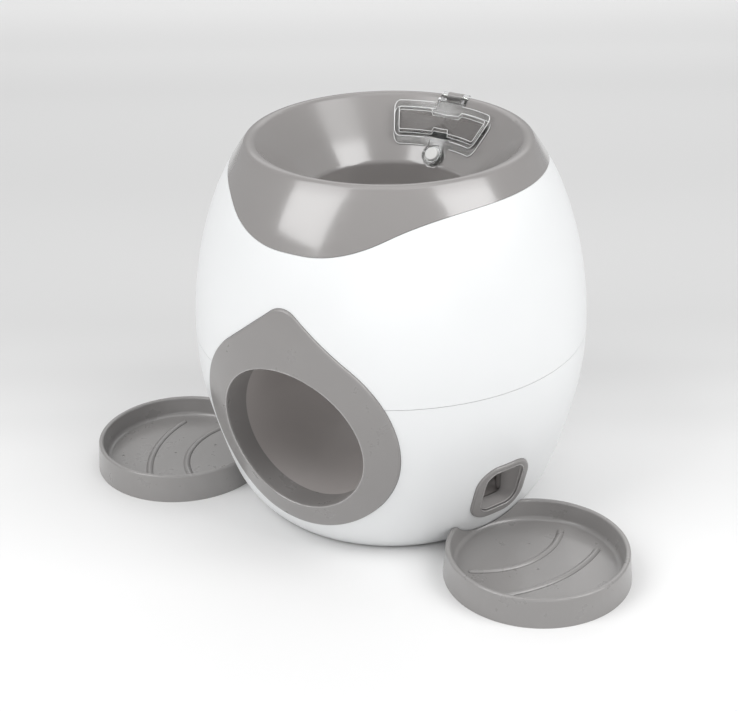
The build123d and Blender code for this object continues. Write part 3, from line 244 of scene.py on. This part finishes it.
def painted_joint_shade_group():
    """Painted shade in the fine joint between the two shells; the output is a mask round one level."""
    group, inlet, outlet = start_group(
        "painted_joint_shade",
        (("Level", "NodeSocketFloat", widest_z), ("Half Width", "NodeSocketFloat", joint_half_width)),
        (("Shade", "NodeSocketFloat"),),
    )
    parts = group.nodes.new("ShaderNodeSeparateXYZ")
    group.links.new(group.nodes.new("ShaderNodeTexCoord").outputs["Object"], parts.inputs["Vector"])
    away = reckon(group, "SUBTRACT", parts.outputs["Z"], inlet.outputs["Level"])
    distance = reckon(group, "ABSOLUTE", away)
    within = spread(group, distance, 1.0, 0.0, from_low=0.0, from_high=inlet.outputs["Half Width"])
    group.links.new(within, outlet.inputs["Shade"])
    return group


def matt_ring_group():
    """Less polished ring of a turned moulding; the output is 1 off the ring and Least on it."""
    group, inlet, outlet = start_group(
        "matt_ring",
        (
            ("Start Radius", "NodeSocketFloat", matt_ring_start),
            ("End Radius", "NodeSocketFloat", matt_ring_end),
            ("Blend", "NodeSocketFloat", matt_ring_blend),
            ("Least", "NodeSocketFloat", matt_ring_polish),
        ),
        (("Polish", "NodeSocketFloat"),),
    )
    flat = group.nodes.new("ShaderNodeVectorMath")
    flat.operation = "MULTIPLY"
    flat.inputs[1].default_value = (1.0, 1.0, 0.0)
    group.links.new(group.nodes.new("ShaderNodeTexCoord").outputs["Object"], flat.inputs[0])
    radius = group.nodes.new("ShaderNodeVectorMath")
    radius.operation = "LENGTH"
    group.links.new(flat.outputs["Vector"], radius.inputs[0])
    sides = []
    for title, before, after in (("Start Radius", 1.0, 0.0), ("End Radius", 0.0, 1.0)):
        edge = inlet.outputs[title]
        limit = reckon(group, "ADD", edge, inlet.outputs["Blend"])
        sides.append(spread(group, radius.outputs["Value"], before, after, edge, limit, smooth=True))
    off_ring = reckon(group, "ADD", *sides, clamp=True)
    polish = spread(group, off_ring, inlet.outputs["Least"], 1.0, from_low=0.0, from_high=1.0)
    group.links.new(polish, outlet.inputs["Polish"])
    return group


moulded_skin = moulded_skin_group()
painted_joint_shade = painted_joint_shade_group()
matt_ring = matt_ring_group()


# ---------------------------------------------------------------------------
# Finishes
# ---------------------------------------------------------------------------


def start_material(name):
    """Material with a bare Principled shader; returns the material, its tree and the shader."""
    material = bpy.data.materials.new(name)
    material.use_nodes = True
    return material, material.node_tree, material.node_tree.nodes["Principled BSDF"]


def add_group(tree, group, **values):
    """Place a shared effect with this material's own values; underscores stand for spaces."""
    node = tree.nodes.new("ShaderNodeGroup")
    node.node_tree = group
    for title, value in values.items():
        node.inputs[title.replace("_", " ")].default_value = value
    return node


def start_moulded(name, colour, polish, mottle, grain, scale=grain_scale, depth=fine_grain_depth):
    """Material with the moulded skin; polish is its least and greatest roughness."""
    material, tree, shader = start_material(name)
    polished, dull = polish
    skin = add_group(
        tree,
        moulded_skin,
        Colour=(*colour, 1.0),
        Mottle=mottle,
        Grain_Scale=scale,
        Polished=polished,
        Dull=dull,
    )
    tree.links.new(skin.outputs["Colour"], shader.inputs["Base Color"])
    tree.links.new(skin.outputs["Roughness"], shader.inputs["Roughness"])
    if grain:
        bump = tree.nodes.new("ShaderNodeBump")
        bump.inputs["Strength"].default_value = grain
        bump.inputs["Distance"].default_value = depth
        tree.links.new(skin.outputs["Height"], bump.inputs["Height"])
        tree.links.new(bump.outputs["Normal"], shader.inputs["Normal"])
    return material, tree, shader


def plastic(
    name,
    colour,
    polish,
    mottle=0.02,
    grain=0.05,
    scale=grain_scale,
    coat=0.0,
    coat_roughness=0.05,
    coat_ior=1.5,
    joint=0.0,
    ringed=False,
):
    """Opaque moulded plastic; joint darkens the shells' joint line with painted shade, and ringed dulls
    the bowl's wall.
    """
    material, tree, shader = start_moulded(name, colour, polish, mottle, grain, scale, grain_depth)
    shader.inputs["IOR"].default_value = plastic_ior
    shader.inputs["Coat Weight"].default_value = coat
    shader.inputs["Coat Roughness"].default_value = coat_roughness
    shader.inputs["Coat IOR"].default_value = coat_ior
    if ringed:
        ring = add_group(tree, matt_ring)
        tree.links.new(ring.outputs["Polish"], shader.inputs["Coat Weight"])
    # Painted shade: the colour is darkened in a thin band along the joint between the shells
    if joint:
        clean = shader.inputs["Base Color"].links[0].from_socket
        shade = add_group(tree, painted_joint_shade).outputs["Shade"]
        light_share = spread(tree, shade, 1.0, 1.0 - joint, from_low=0.0, from_high=1.0)
        tree.links.new(shade_by(tree, clean, light_share), shader.inputs["Base Color"])
    return material


def clear_plastic():
    """Clear styrene of the lid."""
    material, _, shader = start_moulded(
        "clear_styrene", (0.96, 0.97, 0.97), (0.02, 0.06), mottle=0.01, grain=0.05
    )
    shader.inputs["Transmission Weight"].default_value = 1.0
    shader.inputs["IOR"].default_value = 1.12
    return material


def drawn_steel():
    """Zinc-plated screws, pins, shafts and springs."""
    material, _, shader = start_moulded(
        "plated_steel", (0.62, 0.62, 0.6), (0.2, 0.38), mottle=0.08, grain=0.3, scale=3500.0
    )
    shader.inputs["Metallic"].default_value = 1.0
    return material


def see_through(name, colour, polish, alpha):
    """Partly clear surface: painted highlights where the lid's edges catch the light, or the painted
    shade over its sunk panel.
    """
    material, _, shader = start_moulded(name, colour, polish, mottle=0.05, grain=0.05)
    shader.inputs["Alpha"].default_value = alpha
    return material


# joint paints a thin band of shade along the joint between the shells
white_shell = plastic(
    "white_shell_gloss", (0.74, 0.75, 0.755), (0.3, 0.38), mottle=0.006, grain=0.02, joint=0.14
)
grey_moulding = plastic(
    "warm_grey_gloss",
    (0.245, 0.235, 0.23),
    (0.2, 0.26),
    mottle=0.015,
    grain=0.0,
    coat=1.0,
    coat_roughness=0.13,
    coat_ior=1.65,
    ringed=True,
)
bezel_grey = plastic(
    "warm_grey_satin",
    (0.235, 0.226, 0.222),
    (0.26, 0.34),
    mottle=0.015,
    grain=0.0,
    coat=0.4,
    coat_roughness=0.2,
)
tray_grey = plastic(
    "tray_grey_satin",
    (0.245, 0.237, 0.233),
    (0.26, 0.34),
    mottle=0.015,
    grain=0.0,
    coat=0.6,
    coat_roughness=0.2,
)
# Lighter and glossier than the bezel: the gloss catches real reflections, and the lighter grey is a
# painted highlight along the mouths' edges
lip_gloss_painted_highlight = plastic(
    "bezel_lip_gloss_painted_highlight", (0.3, 0.29, 0.285), (0.12, 0.2), mottle=0.03, coat=1.0, coat_ior=1.7
)
# Painted light: the liner's grey is made lighter to make up for the shade inside the treat ports
throat_grey_painted_lighter = plastic("treat_throat_grey_painted_lighter", (0.34, 0.327, 0.322), (0.3, 0.4), grain=0.0)
# Painted light: the tunnels' grey is made lighter to make up for the shade inside them
tunnel_grey = plastic("tunnel_grey", (0.42, 0.395, 0.385), (0.3, 0.4), grain=0.03)
paddle_grey = plastic("paddle_grey", (0.3, 0.28, 0.272), (0.25, 0.35))
# Painted light: a lighter grey that makes up for the little light inside the hopper
hopper_grey_painted_lighter = plastic("hopper_grey_painted_lighter", (0.64, 0.625, 0.62), (0.35, 0.45))
inner_natural = plastic("inner_natural_plastic", (0.5, 0.5, 0.49), (0.35, 0.5), mottle=0.03, grain=0.25)
gear_acetal = plastic("gear_acetal", (0.78, 0.76, 0.7), (0.3, 0.42), grain=0.15)
button_white = plastic("button_frosted", (0.56, 0.56, 0.55), (0.35, 0.5))
pad_rubber = plastic(
    "pad_rubber", (0.035, 0.035, 0.037), (0.6, 0.8), mottle=0.15, grain=0.5, scale=1500.0
)
clear_styrene = clear_plastic()
# Painted highlight: a light, mostly opaque finish for the beads along the lid's edges
painted_edge_highlight = see_through("lid_painted_edge_highlight", (0.9, 0.9, 0.9), (0.1, 0.2), alpha=0.7)
# Painted shade: a dark, partly clear sheet over the lid's sunk panel
panel_painted_shade = see_through("panel_painted_shade", (0.17, 0.16, 0.155), (0.35, 0.5), alpha=0.62)
plated_steel = drawn_steel()

finishes = {
    "upper_shell": white_shell,
    "lower_shell": white_shell,
    "bowl": grey_moulding,
    "port_bezel": bezel_grey,
    "treat_port_bezel_left": bezel_grey,
    "treat_port_bezel_right": bezel_grey,
    "side_tray_left": tray_grey,
    "side_tray_right": tray_grey,
    "ball_chute": tunnel_grey,
    "drop_tube": tunnel_grey,
    "treat_chute_left": tunnel_grey,
    "treat_chute_right": tunnel_grey,
    "trigger_paddle": paddle_grey,
    "treat_lid": clear_styrene,
    "lid_button": button_white,
    "hopper": hopper_grey_painted_lighter,
    "base_plate": inner_natural,
    "drum_housing": inner_natural,
    "diverter_flap": inner_natural,
    "metering_drum": inner_natural,
    "drum_gear": gear_acetal,
    "paddle_gear": gear_acetal,
    "feet": pad_rubber,
    "base_screws": plated_steel,
    "chute_screws": plated_steel,
    "hopper_screws": plated_steel,
    "lid_hinge_pin": plated_steel,
    "diverter_pin": plated_steel,
    "drum_shaft": plated_steel,
    "paddle_shaft": plated_steel,
    "lid_button_spring": plated_steel,
    "paddle_spring": plated_steel,
}
for node, finish in finishes.items():
    slots = nodes[node].data.materials
    slots.clear()
    slots.append(finish)


# ---------------------------------------------------------------------------
# Forms of the body that the detail pieces follow
# ---------------------------------------------------------------------------


def wall_radius(height):
    """Radius of the body's side wall at a height."""
    arcs = upper_arcs if height > widest_z else lower_arcs
    rise = abs(height - widest_z)
    inwards = along = lean = 0.0
    for radius, angle in arcs:
        turned = lean + radians(angle)
        arc_rise = radius * (sin(turned) - sin(lean))
        if rise <= along + arc_rise:
            here = asin(sin(lean) + (rise - along) / radius)
            return body_r - inwards - radius * (cos(lean) - cos(here))
        inwards += radius * (cos(lean) - cos(turned))
        along += arc_rise
        lean = turned
    return body_r - inwards


def cone_height(radius):
    """Height of the bowl's cone at a radius from the body's axis."""
    inwards = along = lean = 0.0
    for arc_radius, angle in upper_arcs:
        turned = lean + radians(angle)
        inwards += arc_radius * (cos(lean) - cos(turned))
        along += arc_radius * (sin(turned) - sin(lean))
        lean = turned
    ring_r = body_r - inwards - crest_round * cos(lean)
    top_r = ring_r - crest_round * sin(cone_slope)
    top_z = widest_z + along - crest_round * sin(lean) + crest_round * cos(cone_slope)
    return top_z - (top_r - radius) * tan(cone_slope)


def on_cone(x, y, height):
    """Point over the cone at a place seen from above and a height square to the cone."""
    return Vector((x, y, cone_height(hypot(x, y)) + height / cos(cone_slope)))


def level(angle, length=1.0):
    """Level vector at an angle from +Y towards +X."""
    return Vector((length * sin(angle), length * cos(angle)))


def mirrored(points):
    """The same points on the left-hand side, in the opposite order."""
    return [Vector((-point.x, point.y, point.z)) for point in reversed(points)]


def flipped(faces):
    """The same faces, turned to look the other way."""
    return [tuple(reversed(face)) for face in faces]


def rounded_rectangle(width, height, corner, steps=8):
    """Outline points, anticlockwise from the lower right corner's start."""
    points = []
    centres = ((1, -1, -90), (1, 1, 0), (-1, 1, 90), (-1, -1, 180))
    for across, upright, start in centres:
        for step in range(steps + 1):
            turn = radians(start + 90 * step / steps)
            points.append(
                (
                    across * (width / 2 - corner) + corner * cos(turn),
                    upright * (height / 2 - corner) + corner * sin(turn),
                )
            )
    return points


def treat_port_reach(across, upright):
    """Distance of a treat port's bezel face from the body's axis, square to the port."""
    face_r = wall_radius(treat_port_z + upright) + bezel_proud
    return sqrt(face_r**2 - across**2)


def treat_port_point(side, across, upright, reach):
    """Point at a place in a treat port and a distance from the axis; side is 1 right and -1 left."""
    outwards = Vector((side * sin(treat_port_azimuth), -cos(treat_port_azimuth), 0.0))
    along = Vector((-outwards.y, outwards.x, 0.0))
    return along * across + outwards * reach + Vector((0, 0, treat_port_z + upright))


# ---------------------------------------------------------------------------
# Detail pieces
# ---------------------------------------------------------------------------


def ring_faces(rings, count, closed_ends):
    """Quads between rings of points; closed_ends joins the last ring to the first."""
    faces = []
    for ring in range(rings if closed_ends else rings - 1):
        start, following = ring * count, (ring + 1) % rings * count
        for step in range(count):
            after = (step + 1) % count
            faces.append((start + step, start + after, following + after, following + step))
    return faces


def end_faces(rings, count):
    """Faces that close the first and the last of the rings."""
    return [tuple(reversed(range(count))), tuple(range((rings - 1) * count, rings * count))]


def add_piece(name, vertices, faces, finish, body, smooth=True):
    """Piece from points and faces, which rides on a body."""
    mesh = bpy.data.meshes.new(name)
    mesh.from_pydata(vertices, [], faces)
    mesh.polygons.foreach_set("use_smooth", [smooth] * len(faces))
    mesh.materials.append(finish)
    piece = bpy.data.objects.new(name, mesh)
    scene.collection.objects.link(piece)
    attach(piece, body)


def bead(name, points, radius, finish, body, closed=False, sides=8):
    """Thin round bead along the points, which rides on a body."""
    count = len(points)
    vertices = []
    side = None
    for index, point in enumerate(points):
        before = points[index - 1] if closed or index else point
        after = points[(index + 1) % count] if closed or index < count - 1 else point
        ahead = (after - before).normalized()
        side = side or ahead.orthogonal()
        side = (side - ahead * side.dot(ahead)).normalized()
        up = ahead.cross(side)
        for step in range(sides):
            turn = 2 * pi * step / sides
            vertices.append(point + side * radius * cos(turn) + up * radius * sin(turn))
    faces = ring_faces(count, sides, closed)
    if not closed:
        faces += end_faces(count, sides)
    add_piece(name, vertices, faces, finish, body)


def ball_port_lip():
    """Fine lip round the mouth of the ball port, glossy and lighter than the bezel: a painted highlight
    along the mouth's edge.
    """
    ring_r = ball_port_r + ball_port_round / 2
    points = []
    for step in range(ball_lip_points):
        turn = 2 * pi * step / ball_lip_points
        x, z = ring_r * cos(turn), ball_port_z + ring_r * sin(turn)
        face_r = wall_radius(z) + bezel_proud - ball_lip_depth
        points.append(Vector((x, -sqrt(face_r**2 - x**2), z)))
    bead("ball_port_lip", points, lip_bead_r, lip_gloss_painted_highlight, "housing", closed=True)


def treat_port_lip(side, hand):
    """Fine lip round the mouth of a treat port, glossy and lighter than the bezel: a painted highlight
    along the mouth's edge.
    """
    outline = rounded_rectangle(
        treat_mouth_width + 2 * treat_lip_grow,
        treat_mouth_height + 2 * treat_lip_grow,
        treat_mouth_corner + treat_lip_grow,
    )
    points = [
        treat_port_point(side, across, upright, treat_port_reach(across, upright) - treat_lip_depth)
        for across, upright in outline
    ]
    name = f"treat_port_lip_{hand}"
    bead(name, points, lip_bead_r, lip_gloss_painted_highlight, "housing", closed=True)


def treat_throat(side, hand, sections=10):
    """Smooth liner that leads from a treat chute to the bezel's mouth, in a lighter grey that paints
    light into the shaded port.
    """
    chute_rise = chute_mouth_floor_z + chute_mouth_height / 2 - treat_port_z
    rings = []
    # Inner skin from the mouth inwards, then the outer skin back to the mouth
    for trim, order in ((2 * liner_skin, range(sections + 1)), (0.0, range(sections, -1, -1))):
        mouth = rounded_rectangle(
            treat_mouth_width - trim, treat_mouth_height - trim, treat_mouth_corner - trim / 2
        )
        chute = rounded_rectangle(
            chute_mouth_width - liner_play - trim,
            chute_mouth_height - liner_play - trim,
            liner_corner - trim / 2,
        )
        for section in order:
            inwards = section / sections
            shaped = inwards * inwards * (3 - 2 * inwards)
            ring = []
            for (near_x, near_z), (far_x, far_z) in zip(mouth, chute):
                across = near_x + (far_x - near_x) * shaped
                upright = near_z + treat_mouth_rise
                upright += (far_z + chute_rise - upright) * shaped
                front = treat_port_reach(across, upright) - liner_depth
                reach = front - (front - chute_mouth_from_axis) * inwards
                ring.append(treat_port_point(side, across, upright, reach))
            rings.append(ring)
    vertices = [point for ring in rings for point in ring]
    faces = ring_faces(len(rings), len(rings[0]), True)
    if side < 0:
        faces = flipped(faces)
    add_piece(f"treat_throat_{hand}", vertices, faces, throat_grey_painted_lighter, "housing")


def tray_rib(side, hand, number, centre, radius, half_angle):
    """Soft ridge over one of a tray's curved ribs, with rounded ends and a keel below the floor."""
    across_steps, along_steps, cap_steps = 10, 40, 6
    outwards = Vector((side * tray_x, tray_y, 0.0)).normalized()
    sideways = Vector((-outwards.y, outwards.x, 0.0))
    middle = Vector((side * tray_x, tray_y, tray_floor_top))
    half = radians(half_angle)
    cap = tray_rib_half / radius
    ends = [half + cap * cos(pi / 2 * step / cap_steps) for step in range(1, cap_steps)]
    turns = [-turn for turn in ends]
    turns += [-half + 2 * half * step / along_steps for step in range(along_steps + 1)]
    turns += reversed(ends)
    vertices = []
    for turn in turns:
        beyond = max(0.0, abs(turn) - half) / cap
        scale = sqrt(max(0.0, 1.0 - beyond**2))
        profile = []
        for step in range(across_steps + 1):
            share = 2 * step / across_steps - 1
            rise = tray_rib_height * scale * cos(pi / 2 * share)
            profile.append((share * tray_rib_half * scale, rise))
        profile.append((0.0, -tray_rib_keel))
        for aside, rise in profile:
            far = radius + aside
            place = outwards * (centre + far * cos(turn)) + sideways * far * sin(turn)
            vertices.append(middle + place + Vector((0, 0, rise)))
    count = across_steps + 2
    faces = ring_faces(len(turns), count, False) + end_faces(len(turns), count)
    if side < 0:
        faces = flipped(faces)
    name = f"tray_rib_{hand}_{number}"
    add_piece(name, vertices, faces, tray_grey, f"tray_{hand}")


def lid_edge(inset, corner, height, steps=14, corner_steps=6):
    """Points down the right half of the lid's outline, from the middle of its top edge."""
    outer = lid_outer_r - inset
    inner = lid_inner_r + inset
    outer_turn = lid_half_angle - asin((inset + corner) / (outer - corner))
    inner_turn = lid_half_angle - asin((inset + corner) / (inner + corner))
    square = lid_half_angle + pi / 2
    flat = [level(outer_turn * step / steps, outer) for step in range(steps + 1)]
    rounds = (
        (level(outer_turn, outer - corner), outer_turn, square, 1),
        (level(inner_turn, inner + corner), square, inner_turn + pi, 0),
    )
    for centre, start, end, first in rounds:
        for step in range(first, corner_steps + 1):
            flat.append(centre + level(start + (end - start) * step / corner_steps, corner))
    flat += [level(inner_turn * (1 - step / steps), inner) for step in range(1, steps + 1)]
    return [on_cone(point.x, point.y, height) for point in flat]


def beside(points, top_half, low_half):
    """Points that lie outwards of a half width, which differs for the top and the low edge."""
    return [point for point in points if point.x > (top_half if point.y > lid_middle_y else low_half)]


def rim_highlight_beads():
    """Painted highlights: bright beads round the top and the foot of the clear lid's rim, in two halves.
    """
    for name, inset, height in (("top", rim_bead_inset, lid_top - bead_sink), ("foot", 0.0, lid_foot)):
        half = beside(lid_edge(inset, lid_corner - inset, height), hinge_half, catch_cup_half)
        for hand, points in (("right", half), ("left", mirrored(half))):
            bead(f"lid_rim_highlight_{name}_{hand}", points, rim_bead_r, painted_edge_highlight, "lid")


def panel_loop(height):
    """Closed outline of the lid's sunk panel, which steps round the hinge and the catch's neck."""
    half = [on_cone(across, hinge_step_y, height) for across in (0.0, hinge_half)]
    half += beside(lid_edge(lid_rim_width, lid_panel_corner, height), hinge_half, catch_neck_half)
    half += [on_cone(across, catch_neck_end_y, height) for across in (catch_neck_half, 0.0)]
    return half[:-1] + mirrored(half)[:-1]


def panel_highlight_beads():
    """Painted highlights: bright beads round the top and the foot of the step down to the lid's panel.
    """
    for name, height in (("top", lid_top), ("foot", lid_panel_top + bead_sink)):
        loop = panel_loop(height)
        bead(f"lid_panel_highlight_{name}", loop, panel_bead_r, painted_edge_highlight, "lid", closed=True)


def panel_shade_sheet():
    """Painted shade: a dark, partly clear sheet on the face of the lid's sunk panel."""
    face = panel_loop(lid_panel_top + bead_sink)
    inwards = shade_sheet_skin * Vector((0, sin(cone_slope), -cos(cone_slope)))
    back = [point + inwards for point in face]
    count = len(face)
    faces = ring_faces(2, count, False) + flipped(end_faces(2, count))
    add_piece("lid_panel_painted_shade", face + back, faces, panel_painted_shade, "lid", smooth=False)


ball_port_lip()
for side, hand in ((1, "right"), (-1, "left")):
    treat_port_lip(side, hand)
    treat_throat(side, hand)
    for number, rib in enumerate(tray_ribs, 1):
        tray_rib(side, hand, number, *rib)
rim_highlight_beads()
panel_highlight_beads()
panel_shade_sheet()


# ---------------------------------------------------------------------------
# Floor, light and camera
# ---------------------------------------------------------------------------


def studio_floor():
    """Pale floor whose painted light and shade falls off to a light grey behind the object and lightens
    again far behind.
    """
    mesh = bpy.data.meshes.new("studio_floor")
    signs = ((-1, -1), (1, -1), (1, 1), (-1, 1))
    mesh.from_pydata([(x * floor_half, y * floor_half, 0) for x, y in signs], [], [(0, 1, 2, 3)])
    floor = bpy.data.objects.new("studio_floor", mesh)
    scene.collection.objects.link(floor)
    material, tree, shader = start_material("studio_floor_paper")
    along = tree.nodes.new("ShaderNodeVectorMath")
    along.operation = "DOT_PRODUCT"
    along.inputs[1].default_value = (-sin(camera_azimuth), cos(camera_azimuth), 0.0)
    tree.links.new(tree.nodes.new("ShaderNodeTexCoord").outputs["Object"], along.inputs[0])
    depth = spread(tree, along.outputs["Value"], 0.0, 1.0, from_low=floor_near, from_high=floor_far)
    # The ramp paints light and shade on the floor: its steps stand in for the studio light's fall-off
    ramp = tree.nodes.new("ShaderNodeValToRGB")
    ramp.color_ramp.interpolation = "EASE"
    tree.links.new(depth, ramp.inputs["Fac"])
    elements = ramp.color_ramp.elements
    elements[0].position = painted_floor_shading[0][0]
    elements[1].position = painted_floor_shading[-1][0]
    for position, _ in painted_floor_shading[1:-1]:
        elements.new(position)
    for element, (_, lightness) in zip(elements, painted_floor_shading):
        element.color = (lightness, lightness, lightness, 1.0)
    tree.links.new(ramp.outputs["Color"], shader.inputs["Base Color"])
    shader.inputs["Roughness"].default_value = floor_roughness
    shader.inputs["Specular IOR Level"].default_value = floor_specular
    mesh.materials.append(material)


def softbox(name, azimuth, elevation, width, height, reach, power):
    """Rectangular lamp that faces the object; the camera doesn't see it."""
    lamp = bpy.data.lights.new(name, "AREA")
    lamp.shape = "RECTANGLE"
    lamp.size = width
    lamp.size_y = height
    lamp.energy = power
    holder = bpy.data.objects.new(name, lamp)
    scene.collection.objects.link(holder)
    turn = camera_azimuth + radians(azimuth)
    lift = radians(elevation)
    direction = Vector((sin(turn) * cos(lift), -cos(turn) * cos(lift), sin(lift)))
    holder.location = lamp_target + direction * reach
    holder.rotation_euler = direction.to_track_quat("Z", "Y").to_euler()
    holder.visible_camera = False


def studio_world():
    """Even white surround."""
    world = bpy.data.worlds.new("studio_surround")
    world.use_nodes = True
    surround = world.node_tree.nodes["Background"]
    surround.inputs["Color"].default_value = (1.0, 1.0, 1.0, 1.0)
    surround.inputs["Strength"].default_value = world_strength
    scene.world = world


def studio_camera():
    """Camera at the photograph's station."""
    place = Vector(
        (camera_distance * sin(camera_azimuth), -camera_distance * cos(camera_azimuth), camera_height)
    )
    bearing = camera_azimuth + camera_pan
    forward = Vector(
        (-sin(bearing) * cos(camera_tilt), cos(bearing) * cos(camera_tilt), sin(camera_tilt))
    )
    right = forward.cross(Vector((0, 0, 1))).normalized()
    up = right.cross(forward)
    rolled_right = right * cos(camera_roll) + up * sin(camera_roll)
    rolled_up = up * cos(camera_roll) - right * sin(camera_roll)
    lens = bpy.data.cameras.new("studio_camera")
    lens.sensor_fit = "HORIZONTAL"
    lens.sensor_width = sensor_width
    lens.lens = focal_pixels / picture_width * sensor_width
    lens.clip_start = clip_near
    lens.clip_end = clip_far
    camera = bpy.data.objects.new("studio_camera", lens)
    scene.collection.objects.link(camera)
    turn = Matrix((rolled_right, rolled_up, -forward)).transposed()
    camera.matrix_world = Matrix.Translation(place) @ turn.to_4x4()
    scene.camera = camera


studio_floor()
studio_world()
for name, settings in lamps.items():
    softbox(name, *settings)
studio_camera()
scene.view_settings.view_transform = "Standard"
